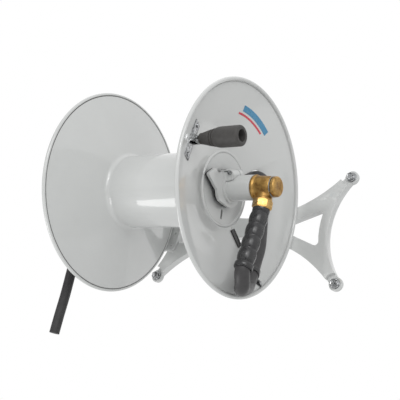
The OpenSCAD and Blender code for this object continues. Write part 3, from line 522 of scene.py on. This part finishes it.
class HOSEREEL_OT_finishes(Operator):
    """Build the finishes and give them to the CAD nodes"""

    bl_idname = "hosereel.finishes"
    bl_label = "Finishes"

    def execute(self, context):
        for build in (build_mottle, build_grain, build_gloss, build_wear):
            build()
        self.metals(colours())
        self.plastics(colours())
        self.coatings(colours())
        slots = {part["node"]: part["material_slot"] for part in frame["record"]["subparts"]}
        slots["arm_screws"] = "paint"
        for name, obj in frame["nodes"].items():
            obj.data.materials.clear()
            obj.data.materials.append(bpy.data.materials[slots[name]])
        return {"FINISHED"}

    def metals(self, c):
        # chrome's darker cloudy patches, at 0.42 of its colour, are painted reflection: they stand in for dark
        # surroundings mirrored in the plating
        finish_material("chrome", c.chrome, dim(c.chrome, 0.42), (240.0, 0.44, 0.10), (1800.0, 0.00002, 2.0),
                        (260.0, 0.07, 0.20), Metallic=1.0)
        finish_material("zinc", c.zinc, dim(c.zinc, 0.72), (220.0, 0.5, 0.2), (1500.0, 0.00006, 2.0),
                        (300.0, 0.28, 0.46), Metallic=1.0)
        finish_material("brass", c.patina, c.brass, (75.0, 0.47, 0.14), (1100.0, 0.00022, 3.0),
                        (190.0, 0.26, 0.46), wear=(0.9, (0.80, 0.58, 0.26)), Metallic=1.0)
        finish_material("machined brass", dim(c.brass, 0.8), dim(c.brass, 1.25), (140.0, 0.5, 0.2),
                        (1500.0, 0.00008, 2.0), (220.0, 0.16, 0.34), wear=(0.8, (0.72, 0.57, 0.29)),
                        Metallic=1.0)

    def plastics(self, c):
        finish_material("hose_rubber", c.hose, dim(c.hose, 1.45), (60.0, 0.52, 0.2), (1400.0, 0.00009, 3.0),
                        (80.0, 0.42, 0.56), Specular_IOR_Level=0.45)
        finish_material("inlet hose rubber", dim(c.hose, 0.9), dim(c.hose, 1.25), (60.0, 0.52, 0.2),
                        (1400.0, 0.00009, 3.0), (80.0, 0.5, 0.62), Specular_IOR_Level=0.4)
        finish_material("leader hose rubber", c.hose, dim(c.hose, 1.45), (60.0, 0.52, 0.2),
                        (1200.0, 0.00012, 3.0), (80.0, 0.38, 0.52), Specular_IOR_Level=0.5)
        finish_material("boot_rubber", c.boot, dim(c.boot, 1.6), (90.0, 0.55, 0.2), (1500.0, 0.00006, 2.0),
                        (120.0, 0.20, 0.30), Specular_IOR_Level=0.6)
        finish_material("grip_plastic", c.grip, dim(c.grip, 1.3), (120.0, 0.5, 0.2), (1900.0, 0.00010, 2.0),
                        (150.0, 0.50, 0.62), wear=(0.35, dim(c.grip, 2.2)), Specular_IOR_Level=0.4)
        finish_material("bearing_plastic", c.bearing, dim(c.bearing, 1.3), (150.0, 0.5, 0.2),
                        (1300.0, 0.00008, 2.0), (200.0, 0.4, 0.55))

    def coatings(self, c):
        finish_material("paint", c.paint, dim(c.paint, 0.955), (9.0, 0.5, 0.22), (620.0, 0.00009, 1.5),
                        (14.0, 0.30, 0.38), wear=(0.08, dim(c.paint, 1.10)), Coat_Weight=1.0,
                        Coat_Roughness=0.04, Specular_IOR_Level=0.5)
        film = finish_material("decal_film", c.stripe, dim(c.stripe, 1.25), (260.0, 0.5, 0.2),
                               (900.0, 0.00003, 1.0), (120.0, 0.22, 0.32), Coat_Weight=0.5,
                               Coat_Roughness=0.12)
        self.split_stripes(film.node_tree, c.fine_stripe)

    def split_stripes(self, tree, fine):
        """Inside the wide stripe's radius, the film takes the narrow stripe's colour."""
        base = tree.nodes["Principled BSDF"].inputs["Base Color"]
        kind = "ShaderNodeVectorMath"
        moved = maths(tree, "SUBTRACT", object_spot(tree), (0, AXLE_Y, 0), kind=kind)
        flat = maths(tree, "MULTIPLY", moved, (0, 1, 1), kind=kind)
        radius = maths(tree, "LENGTH", flat, kind=kind, output="Value")
        inner = maths(tree, "LESS_THAN", radius, STRIPE_SPLIT)
        tree.links.new(blend(tree, inner, base.links[0].from_socket, rgba(fine)), base)


# ---------------------------------------------------------------- camera and inlet hose

CAMERA_PLACE = (0.8460, -1.2100, -0.5243)  # from the middle of the front disc's rim
CAMERA_RIGHT = Vector((0.8107, 0.5498, 0.2010))
CAMERA_BACK = Vector((0.5851, -0.7493, -0.3103))
# the inlet hose's line, in millimetres from the point above it at the axle's height
INLET_ROUTE = [(0, 0, -30), (0, 0, -70), (0, 0, -110), (0, 0, -150), (0, 0, -190), (0, 0, -235),
               (-2, 0, -280), (-3, 0, -320)]


class HOSEREEL_OT_camera(Operator):
    """Stand the camera in front of the crank side, a little below the axle"""

    bl_idname = "hosereel.camera"
    bl_label = "Camera"

    def execute(self, context):
        lens = bpy.data.cameras.new("camera")
        lens.lens = sizes().lens
        lens.sensor_width = 36.0
        lens.clip_start = 0.05
        lens.clip_end = 50.0
        camera = bpy.data.objects.new("camera", lens)
        context.scene.collection.objects.link(camera)
        back = CAMERA_BACK.normalized()
        up = back.cross(CAMERA_RIGHT).normalized()
        turn = Matrix((up.cross(back).normalized(), up, back)).transposed()
        spot = Vector((RIM_X, AXLE_Y, 0)) + Vector(CAMERA_PLACE)
        camera.matrix_world = Matrix.Translation(spot) @ turn.to_4x4()
        context.scene.camera = camera
        return {"FINISHED"}


class HOSEREEL_OT_inlet_hose(Operator):
    """Hang the inlet hose from its elbow behind the arm"""

    bl_idname = "hosereel.inlet_hose"
    bl_label = "Inlet hose"

    def execute(self, context):
        radius = sizes().inlet_radius
        top = Vector((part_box("inlet_hose")[0].x + radius, AXLE_Y, 0))
        points = [top + Vector(p) * MM for p in INLET_ROUTE]
        hose, line = tube("inlet_hose_black", points, radius, sides=32, smooth_steps=6)
        self.bore(hose, line[-1], radius)
        place(hose, "frame", "hose_rubber", "inlet_hose", extra="inlet hose rubber")
        return {"FINISHED"}

    def bore(self, obj, end, radius):
        """Insets the end face of the hose and pushes the middle in."""
        edit_faces(obj, lambda face: (face.center - end).length < radius * 0.2 and len(face.vertices) > 8)
        bpy.ops.mesh.inset(thickness=radius * 0.12, depth=0)
        bpy.ops.mesh.inset(thickness=radius * 0.26, depth=0)
        bpy.ops.mesh.extrude_region_move(TRANSFORM_OT_translate={"value": (0, 0, 14 * MM)})
        clean()
        editing(False)


# ---------------------------------------------------------------- drum and discs


def rim_frame():
    """Middle of a disc's rolled rim, and the directions along its sheet and off its front face."""
    centre = Vector((DISH - BEAD * TAN_SLOPE, DISC_R - BEAD))
    return centre, Vector((math.sin(SLOPE), math.cos(SLOPE))), Vector((math.cos(SLOPE), -math.sin(SLOPE)))


def near_rim(*steps):
    """Points near a disc's rim, each in millimetres along the sheet and off its front face."""
    centre, outwards, upwards = rim_frame()
    return [tuple(centre + (outwards * along + upwards * rise) * MM) for along, rise in steps]


def disc_outline(hub_x, out):
    """Outline of a dished disc with its hub ridge, rolled rim and bend, as (x, radius). out is 1 or -1."""
    ridge, bend = sizes().hub_ridge, sizes().disc_fillet
    shape = [(-SHEET, HUB_BORE), (0.0, HUB_BORE), (0.0, DRUM_R - 7.0 * MM)]
    shape += arc(2 * MM - ridge, DRUM_R - 3 * MM, ridge, 156, 24, 12)
    shape.append((TAN_SLOPE * 3 * MM, DRUM_R + 3 * MM))
    shape += near_rim((-6.1, 0.0), (-5.9, -1.5), (-4.6, -1.5))
    shape += near_rim(*arc(0, 0, BEAD / MM, -78, 205, 26))
    shape += near_rim((-2.5, -1.1), (-3.1, -1.1), (-4.0, -2.0))
    for k in range(9):  # the bend that meets the drum
        t = k / 8
        s = (1 - t) * (1 - t)
        shape.append((bend * TAN_SLOPE * s - SHEET - bend * t * t, DRUM_R + bend * s))
    shape += [(-SHEET - bend, DRUM_R - MM), (-SHEET, DRUM_R - MM)]
    return [(hub_x + out * u, r) for u, r in shape]


class HOSEREEL_OT_discs(Operator):
    """Spin the two dished discs and cut the opening and the slot in the front one"""

    bl_idname = "hosereel.discs"
    bl_label = "Discs"

    def execute(self, context):
        front = axle_lathe("front_disc_spun", disc_outline(FRONT_X, 1), steps=192)
        cut(front, self.opening())
        cut(front, self.slot())
        soften(front, 0.5 * MM, 50)
        place(smooth_shade(front, 38), "reel", "paint", "front_disc")
        # the black plate behind the slot is painted shade that darkens the slot
        place(self.slot_floor(), "reel", "bearing_plastic")
        rear = axle_lathe("rear_disc_spun", disc_outline(REAR_X, -1), steps=192)
        place(smooth_shade(rear, 38), "reel", "paint", "rear_disc")
        # the dark ring in the rear rim's crease is painted shade
        place(self.rim_seam(), "reel", "bearing_plastic")
        return {"FINISHED"}

    def rim_seam(self):
        """A dark ring at the bottom of the crease behind the rear disc's rim: painted shade for the shadow gap
        between the rolled rim and the sheet.
        """
        corners = near_rim((-2.5, -1.05), (-3.2, -1.05), (-4.0, -2.0), (-2.1, -2.4))
        return smooth_shade(axle_lathe("rim_seam", [(REAR_X - u, r) for u, r in corners], steps=160))

    def opening(self):
        """A solid that takes the hose opening out of the disc, with one rounded outer corner."""
        low, high = FRONT_X - 30 * MM, RIM_X + 10 * MM
        inner, outer, corner = DRUM_R + 2 * MM, sizes().opening_radius, sizes().opening_corner
        start, end = -53, 43.5
        turn = math.degrees(corner / outer)
        inside = [polar(low, inner, start + (end - start) * k / 32) for k in range(33)]
        outside = [polar(low, outer, start + (end - turn - start) * k / 28) for k in range(29)]
        for k in range(1, 17):
            drop = corner - math.sqrt(corner ** 2 - (corner * k / 16) ** 2)
            outside.append(polar(low, outer - drop, end - turn + turn * k / 16))
        obj = draw_line("opening", inside + outside[::-1] + inside[:1])
        bpy.ops.mesh.remove_doubles(threshold=WELD)
        bpy.ops.mesh.edge_face_add()
        bpy.ops.mesh.extrude_region_move(TRANSFORM_OT_translate={"value": (high - low, 0, 0)})
        clean()
        editing(False)
        return obj

    def slot(self):
        """A rounded bar that takes the slot out of the hub's face."""
        half = 3.2 * MM
        cutter = self.slot_bar("slot_bar", 20 * MM, 20 * MM, 2 * half, FRONT_X)
        return soften(cutter, half * 0.9, 30, segments=3)

    def slot_floor(self):
        """A black plate just behind the slot, painted shade: it makes the slot show dark instead of the pale hub
        behind it.
        """
        return self.slot_bar("slot_floor", 0.3 * MM, 19.2 * MM, 5.8 * MM, FRONT_X - SHEET + 0.2 * MM)

    def slot_bar(self, name, thick, long, wide, x):
        radius, angle = 52 * MM, -81
        return bar(name, (thick, long, wide), x, radius, angle)


class HOSEREEL_OT_drum(Operator):
    """Roll the drum between the discs"""

    bl_idname = "hosereel.drum"
    bl_label = "Drum"

    def execute(self, context):
        low, high, bore = DRUM_LOW.x, DRUM_HIGH.x, DRUM_R - 2.5 * MM
        outline = [(low, bore), *((low + (high - low) * k / 8, DRUM_R) for k in range(9)), (high, bore)]
        drum = axle_lathe("drum_rolled", outline, steps=160)
        place(smooth_shade(drum), "reel", "paint", "drum_tube")
        return {"FINISHED"}


class HOSEREEL_OT_trim(Operator):
    """Shape the rubber trim on the opening's lower edge"""

    bl_idname = "hosereel.trim"
    bl_label = "Opening trim"

    def execute(self, context):
        soft_copy("opening_trim", "trim_strip", "reel", "boot_rubber", 1.3 * MM, 40, segments=3)
        return {"FINISHED"}


# ---------------------------------------------------------------- wall plate and arm


class HOSEREEL_OT_wall_plate(Operator):
    """Soften the cast wall plate and bolt it on"""

    bl_idname = "hosereel.wall_plate"
    bl_label = "Wall plate"

    def execute(self, context):
        soft_copy("base_plate", "wall_plate_cast", "frame", "paint", 1.6 * MM, 50, segments=3)
        low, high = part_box("wall_bolts")
        first = self.bolt(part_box("wall_washers")[0].y, low.y, high.y)
        radius = 10 * MM
        copies = []
        for side in (-1, 1):
            for level in (-1, 1):
                copy = first.copy()
                copy.data = first.data.copy()
                context.scene.collection.objects.link(copy)
                copy.location = (side * (high.x - radius), 0, level * (high.z - radius))
                copies.append(copy)
        bpy.data.objects.remove(first)
        join(*copies)
        bolts = named("wall_bolts_plated")
        freeze()
        place(smooth_shade(bolts, 30), "frame", "chrome", "wall_bolts")
        return {"FINISHED"}

    def bolt(self, face, tip, end):
        """One flanged hex bolt on the Y axis, with its head towards the room."""
        outline = near(end, 0.0, (0, 0), (0, 4.2), (-1, 5))
        outline += near(face, 0.0, (0, 5), (0, 9.9), (-0.7, 9.9), (-2.4, 8.2), (-2.6, 6), (-2.6, 0))
        body = lathe("bolt", outline, Vector((0, 0, 0)), Y_AXIS, X_AXIS, steps=40, closed=False)
        foot = face - 2 * MM
        deselect()
        bpy.ops.mesh.primitive_cylinder_add(vertices=6, radius=8.9 * MM, depth=foot - tip,
                                            location=(0, (foot + tip) / 2, 0), rotation=(math.pi / 2, 0, 0))
        head = bpy.context.object
        freeze()
        edit_faces(head, lambda side: side.normal.y < -0.9)
        bpy.ops.mesh.inset(thickness=1.1 * MM, depth=0)
        bpy.ops.mesh.inset(thickness=1.6 * MM, depth=-0.8 * MM)
        editing(False)
        soften(head, 0.35 * MM, 25)
        return join(body, head)


class HOSEREEL_OT_arm(Operator):
    """Soften the cast support arm"""

    bl_idname = "hosereel.arm"
    bl_label = "Support arm"

    def execute(self, context):
        soft_copy("support_arm", "support_arm_cast", "frame", "paint", 1.4 * MM, 50)
        return {"FINISHED"}


class HOSEREEL_OT_axle(Operator):
    """Turn the axle tube and shape the brake collar on it"""

    bl_idname = "hosereel.axle"
    bl_label = "Axle and brake collar"

    def execute(self, context):
        low, high, radius = AXLE_LOW.x, AXLE_HIGH.x, (AXLE_HIGH.z - AXLE_LOW.z) / 2
        outline = near(low, radius, (0, -5), (0, -0.8), (0.8, 0))
        outline += near(high, radius, (-1.6, 0), (-0.4, -0.5), (0, -1.5), (0, -5))
        axle = axle_lathe("axle_tube_turned", outline, steps=128)
        place(smooth_shade(axle), "frame", "paint", "axle_tube")
        soft_copy("brake_collar", "brake_collar_cast", "frame", "paint", sizes().edge, 40, segments=3)
        return {"FINISHED"}


# ---------------------------------------------------------------- swivel and outlet


class HOSEREEL_OT_swivel(Operator):
    """Cast the brass swivel, with its snap ring, cap and outlet nut"""

    bl_idname = "hosereel.swivel"
    bl_label = "Swivel"

    def execute(self, context):
        self.body()
        self.cap()
        self.ring()
        self.nut()
        return {"FINISHED"}

    def body(self):
        """The body with its branch and spigot as one, worn round and lumpy like a sand casting."""
        x0, x1, collar = SWIVEL_LOW.x, SWIVEL_HIGH.x, 25 * MM
        outline = [(x0, 0.0)]
        outline += near(x0, collar, (0, -1.5), (1.2, 0), (5, 0), (6.6, -1.6))
        outline += near(x0, SWIVEL_R, (8.5, 2.6), (26, 1.6))
        outline += near(x1, SWIVEL_R, (-6, 0.8), (-1.4, 0), (0, -2.2))
        outline.append((x1, 0.0))
        body = axle_lathe("swivel_body_cast", outline, closed=False)
        low, neck, spigot = -28.5 * MM, 16.6 * MM, 14.3 * MM
        branch = [(0.0, 0.0), (0.0, neck), *near(low, neck, (6, 0), (3.5, 0.8), (1.2, 0.8), (0, -0.2)),
                  (low, 0.0)]
        stub = [(low + 2 * MM, 0.0), (low + 2 * MM, spigot), (SWIVEL_LOW.z, spigot), (SWIVEL_LOW.z, 0.0)]
        for name, outline, steps in (("branch", branch, 72), ("spigot", stub, 48)):
            cut(body, lathe(name, outline, OUTLET, Z_AXIS, X_AXIS, steps, closed=False), "UNION")
        apply_modifier(body, "REMESH", mode="VOXEL", voxel_size=0.75 * MM, use_smooth_shade=True)
        apply_modifier(body, "SMOOTH", factor=0.5, iterations=5)
        lumps = bpy.data.textures.new("cast lumps", "CLOUDS")
        lumps.noise_scale = 6 * MM
        lumps.noise_depth = 2
        apply_modifier(body, "DISPLACE", texture=lumps, strength=0.35 * MM, mid_level=0.5)
        place(smooth_shade(body, 60), "reel", "brass", "swivel_body")

    def cap(self):
        x0, x1, r = CAP_LOW.x, CAP_HIGH.x, (CAP_HIGH.z - CAP_LOW.z) / 2
        face, neck, fillet = SWIVEL_HIGH.x + 2.2 * MM, 16.9 * MM, 4 * MM
        outline = [(x0, 0.0), (x0, 13 * MM), (x0, neck), (face, neck)]
        outline += near(face, r, (0, -2.4), (1.4, 0))
        outline.append((x1 - fillet, r))
        outline += arc(x1 - fillet, r - fillet, fillet, 10, 80, 6)
        outline += near(x1, r, (0, -5.5), (0, -12), (-0.25, -15))
        outline.append((x1 - 0.3 * MM, 0.0))
        cap = axle_lathe("swivel_cap_turned", outline[::-1], closed=False)
        place(smooth_shade(cap, 35), "reel", "brass", "swivel_cap")

    def ring(self):
        """The snap ring, with the gap between its ends."""
        low, high = SWIVEL_HIGH.x + 0.5 * MM, SWIVEL_HIGH.x + 1.7 * MM
        r, bore, gap_angle = 20.8 * MM, 17 * MM, -125
        outline = [(low, bore), *near(low, r, (0, -0.5), (0.5, 0)), *near(high, r, (-0.5, 0), (0, -0.5)),
                   (high, bore)]
        ring = axle_lathe("snap_ring_sprung", outline)
        cut(ring, bar("ring_gap", (8 * MM, 12 * MM, 4 * MM), (low + high) / 2, r, gap_angle))
        place(smooth_shade(ring, 35), "reel", "zinc", "swivel_snap_ring")

    def nut(self):
        """A chamfered hexagon with a bore, from a turned blank cut by six flats."""
        z0, z1, bore = NUT_LOW.z, NUT_HIGH.z, 14.6 * MM
        flat = (NUT_HIGH.x - NUT_LOW.x) / 2
        edge, point = flat - 0.4 * MM, flat * 2 / math.sqrt(3) - 0.3 * MM
        blank = [(z0, bore), (z0, edge), (z0 + 2.2 * MM, point)]
        blank += [(z1 - 2.2 * MM, point), (z1, edge), (z1, bore)]
        nut = lathe("outlet_nut_hex", blank, OUTLET, Z_AXIS, X_AXIS, steps=144)
        for k in range(6):
            a = math.radians(60 * k)
            way = Vector((math.cos(a), math.sin(a), 0))
            editing(True)
            bpy.ops.mesh.select_all(action="SELECT")
            bpy.ops.mesh.bisect(plane_co=OUTLET + way * flat, plane_no=way, use_fill=True, clear_outer=True)
            editing(False)
        editing(True)
        clean()
        editing(False)
        soften(nut, 0.25 * MM, 30)
        place(smooth_shade(nut, 30), "reel", "brass", "outlet_nut", extra="machined brass")


# ---------------------------------------------------------------- leader hose


def leader_route():
    """The leader hose's line, from the nut round the bottom of the disc and through the opening. The points
    are in millimetres from the middle of the front disc's rim."""
    rel = (OUTLET_X - RIM_X) / MM
    nut_z = -NUT_LOW.z / MM
    side, fore = math.tan(BOOT_SIDE), math.tan(BOOT_FORE)
    points = [(rel, 0, -36), (rel, 0, -40.5), (rel, 0, -nut_z)]
    points += [(rel - d * side, -d * fore, -nut_z - d) for d in (9, 40, 80, 125)]
    points += [(42, -4, -193), (31, 14, -198), (23, 35, -191), (15, 54, -183), (8, 68, -167),
               (2, 81, -146), (-3, 92, -120), (-6, 101, -90), (-12, 106, -57), (-16, 105, -21),
               (-15, 100, 14), (-14, 93, 41), (-24, 89, 56), (-40, 88, 60), (-61, 89, 54), (-80, 81, 56),
               (-93, 61, 71), (-102, 36, 85), (-109, 18, 91), (-113, 4, 94), (-117, -10, 97)]
    return [Vector((RIM_X, AXLE_Y, 0)) + Vector(p) * MM for p in points]


class HOSEREEL_OT_leader_hose(Operator):
    """Lead the hose from the swivel round the bottom of the disc and through its opening"""

    bl_idname = "hosereel.leader_hose"
    bl_label = "Leader hose"

    def execute(self, context):
        radius = sizes().leader_radius
        hose, _ = tube("leader_hose_black", leader_route(), radius, sides=36, smooth_steps=5)
        place(hose, "reel", "hose_rubber", "leader_hose", extra="leader hose rubber")
        self.restrictor(radius + 0.6 * MM)
        soft_copy("hose_clip", "hose_clip_moulded", "reel", "boot_rubber", 0.6 * MM, 40)
        return {"FINISHED"}

    def restrictor(self, bore):
        """The moulded boot under the nut: bulges, a seam down its side and a round collar at its foot."""
        r, reach, bulges = sizes().boot_radius, sizes().boot_length, sizes().boot_bulges
        outline = [(-reach, bore)]
        outline += near(-reach, r, (0, -0.6), (0.6, 0), (9, 0), (10.5, -0.9), (12, -1.9))
        steps, first, last = 84, 9 * MM, reach - 13 * MM
        valley, swell = r - 2.6 * MM, 2.3 * MM
        for k in range(steps, -1, -1):
            t = k / steps
            wave = abs(math.sin(math.pi * bulges * t)) ** 0.8
            outline.append((-first - (last - first) * t, valley + swell * wave))
        outline += near(0, r, (-8, -1.6), (-1, -1.2), (-0.3, -2))
        outline.append((-0.3 * MM, bore))
        boot = lathe("bend_restrictor_moulded", outline, Vector((0, 0, 0)), Z_AXIS, X_AXIS)
        boot = join(boot, self.seam(outline))
        tilt = Matrix.Rotation(BOOT_SIDE, 4, "Y") @ Matrix.Rotation(-BOOT_FORE, 4, "X")
        boot.matrix_world = Matrix.Translation(Vector((OUTLET_X, AXLE_Y, NUT_LOW.z))) @ tilt
        freeze()
        place(smooth_shade(boot, 45), "reel", "boot_rubber", "bend_restrictor")

    def seam(self, outline):
        """The mould's parting seam, a low bead that follows the bulges."""
        angle = math.radians(8)
        way = Vector((math.cos(angle), math.sin(angle), 0))
        outer = [p for p in outline if p[1] > 15.6 * MM][1:-1]
        points = [way * (radius - 0.35 * MM) + Z_AXIS * along for along, radius in outer]
        bead, _ = tube("seam", points, 0.9 * MM, sides=12, smooth_steps=1)
        return bead


# ---------------------------------------------------------------- crank


class HOSEREEL_OT_crank(Operator):
    """Shape the crank's bracket, its knuckle and the moulded grip"""

    bl_idname = "hosereel.crank"
    bl_label = "Crank"

    def execute(self, context):
        soft_copy("crank_bracket", "crank_bracket_plated", "reel", "chrome", 0.7 * MM, 40, segments=3)
        soft_copy("handle_knuckle", "handle_knuckle_plated", "handle", "chrome", 0.4 * MM, 50)
        self.grip()
        return {"FINISHED"}

    def grip(self):
        """The moulded grip: a waisted root with two grooves, a full end and a deep bore."""
        reach = GRIP_HIGH.x - GRIP_LOW.x
        root, full, bore = 10.3 * MM, (GRIP_HIGH.z - GRIP_LOW.z) / 2, 5.2 * MM
        fillet, groove = 4.5 * MM, 1.3
        outline = [(0.0, bore), *near(0.0, root, (0, -1.6), (0.6, -0.5), (1.8, 0), (6, 0.4))]

        def taper(share):
            return root + (full - 0.6 * MM - root) * share / 0.46

        for share in (0.29, 0.36):
            outline += near(reach * share, taper(share), (-0.5, -0.1), (0, -0.2), (0.3, -groove),
                            (2.1, -groove), (2.4, 0), (2.9, 0.2))
        outline += [(reach * 0.44, taper(0.44)), (reach * 0.47, full - 0.5 * MM),
                    (reach * 0.50, full - 0.2 * MM), (reach * 0.54, full), (reach - 5 * MM, full)]
        outline += arc(reach - fillet, full - fillet, fillet, 8, 90, 7)
        outline += near(reach, 0.0, (0, 12), (-0.8, 11), (-22, 10.8))
        outline.append((reach - 22 * MM, bore))
        grip = lathe("crank_grip_moulded", outline, Vector((GRIP_LOW.x, PIVOT.y, PIVOT.z)), X_AXIS, Y_AXIS)
        place(smooth_shade(grip, 40), "grip", "grip_plastic", "handle_grip")


# ---------------------------------------------------------------- studio

# name, place from the part's middle, width, height, and a lamp's watts or a card's grey
LAMPS = [("key", (1.4, -1.7, 0.7), 1.3, 1.3, 14.0),
         ("top", (0.0, -0.5, 2.2), 2.2, 2.2, 4.0),
         ("low strip", (-0.57, -0.67, -0.85), 0.75, 0.40, 3.6),
         ("boot light", (0.9, -1.85, 0.67), 0.30, 0.45, 3.0)]
CARDS = [("left card", (-2.3, -1.2, 0.2), 1.4, 2.6, 0.02),
         ("camera card", (1.6, -2.6, -0.4), 1.0, 2.2, 0.02),
         ("right card", (1.35, 1.9, 0.85), 0.7, 1.6, 0.7)]


class HOSEREEL_OT_stage(Operator):
    """Lay the floor, hang the lamps and set a white surround"""

    bl_idname = "hosereel.stage"
    bl_label = "Stage"

    def execute(self, context):
        context.scene.view_settings.view_transform = "Standard"
        self.floor()
        self.surround(context.scene)
        low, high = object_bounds()
        for lamp in LAMPS:
            self.lamp((low + high) / 2, *lamp)
        for card in CARDS:
            self.card((low + high) / 2, *card)
        return {"FINISHED"}

    def floor(self):
        deselect()
        bpy.ops.mesh.primitive_plane_add(size=14, location=(0, 0, -sizes().floor_drop))
        floor = named("studio_floor")
        freeze()
        colour = colours().floor
        material, tree, shader = new_material("floor")
        patches = use(tree, "Mottle", object_spot(tree), rgba(colour), rgba(dim(colour, 0.985)),
                      1.2, 0.5, 0.25)
        tree.links.new(patches, shader.inputs["Base Color"])
        shader.inputs["Roughness"].default_value = 0.9
        floor.data.materials.append(material)
        floor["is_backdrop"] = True

    def surround(self, scene):
        """White for what the camera, mirrors and glass see, and a plain level for the rest."""
        scene.world = bpy.data.worlds.new("surround")
        scene.world.use_nodes = True
        tree = scene.world.node_tree
        tree.nodes.clear()
        path = node(tree, "ShaderNodeLightPath").outputs
        seen = maths(tree, "MAXIMUM", path["Is Camera Ray"], path["Is Glossy Ray"])
        seen = maths(tree, "MAXIMUM", seen, path["Is Transmission Ray"])
        dull, white = [node(tree, "ShaderNodeBackground", [("Color", rgba([1] * 3)), ("Strength", level)])
                       for level in (0.72, 1.0)]
        mix = node(tree, "ShaderNodeMixShader", [(0, seen), (1, dull.outputs[0]), (2, white.outputs[0])])
        node(tree, "ShaderNodeOutputWorld", [("Surface", mix.outputs[0])])

    def lamp(self, aim, name, offset, wide, tall, power):
        light = bpy.data.lights.new(name, "AREA")
        light.shape = "RECTANGLE"
        light.size = wide
        light.size_y = tall
        light.energy = power
        obj = bpy.data.objects.new(name, light)
        bpy.context.scene.collection.objects.link(obj)
        obj.location = aim + Vector(offset)
        obj.rotation_euler = (-Vector(offset)).to_track_quat("-Z", "Y").to_euler()
        obj.visible_camera = False

    def card(self, aim, name, offset, wide, tall, level):
        """A grey card that only mirrors see, so that gloss and metal have something darker to show."""
        deselect()
        bpy.ops.mesh.primitive_plane_add(size=1, location=(0, 0, 0))
        card = named(name)
        card.scale = (wide, tall, 1)
        card.location = aim + Vector(offset)
        card.rotation_euler = (-Vector(offset)).to_track_quat("Z", "Y").to_euler()
        freeze()
        material, _, shader = new_material(name)
        shader.inputs["Base Color"].default_value = rgba([level] * 3)
        card.data.materials.append(material)
        card.visible_camera = card.visible_diffuse = card.visible_shadow = card.visible_transmission = False
        card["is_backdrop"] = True


# ---------------------------------------------------------------- add-on


class HOSEREEL_PT_dressing(Panel):
    """Lists the sizes, the colours and the steps that dress the reel"""

    bl_label = "Hose Reel"
    bl_idname = "HOSEREEL_PT_dressing"
    bl_space_type = "VIEW_3D"
    bl_region_type = "UI"
    bl_category = "Hose Reel"

    def draw(self, context):
        layout = self.layout
        for group in (sizes(), colours()):
            box = layout.box()
            for name in group.__annotations__:
                box.prop(group, name)
        for step in STEPS:
            layout.operator(step.bl_idname)


STEPS = [HOSEREEL_OT_camera, HOSEREEL_OT_finishes, HOSEREEL_OT_inlet_hose, HOSEREEL_OT_discs,
         HOSEREEL_OT_drum, HOSEREEL_OT_trim, HOSEREEL_OT_wall_plate, HOSEREEL_OT_arm, HOSEREEL_OT_axle,
         HOSEREEL_OT_swivel, HOSEREEL_OT_leader_hose, HOSEREEL_OT_crank, HOSEREEL_OT_stage]
CLASSES = [HoseReelSizes, HoseReelColours, *STEPS, HOSEREEL_PT_dressing]


def register():
    for cls in CLASSES:
        bpy.utils.register_class(cls)
    bpy.types.Scene.hose_reel_sizes = PointerProperty(type=HoseReelSizes)
    bpy.types.Scene.hose_reel_colours = PointerProperty(type=HoseReelColours)


def unregister():
    del bpy.types.Scene.hose_reel_colours
    del bpy.types.Scene.hose_reel_sizes
    for cls in reversed(CLASSES):
        bpy.utils.unregister_class(cls)


def main():
    register()
    for step in STEPS:
        group, name = step.bl_idname.split(".")
        result = getattr(getattr(bpy.ops, group), name)()
        if result != {"FINISHED"}:
            raise RuntimeError(f"{step.bl_label} did not finish")


if __name__ == "__main__":
    main()
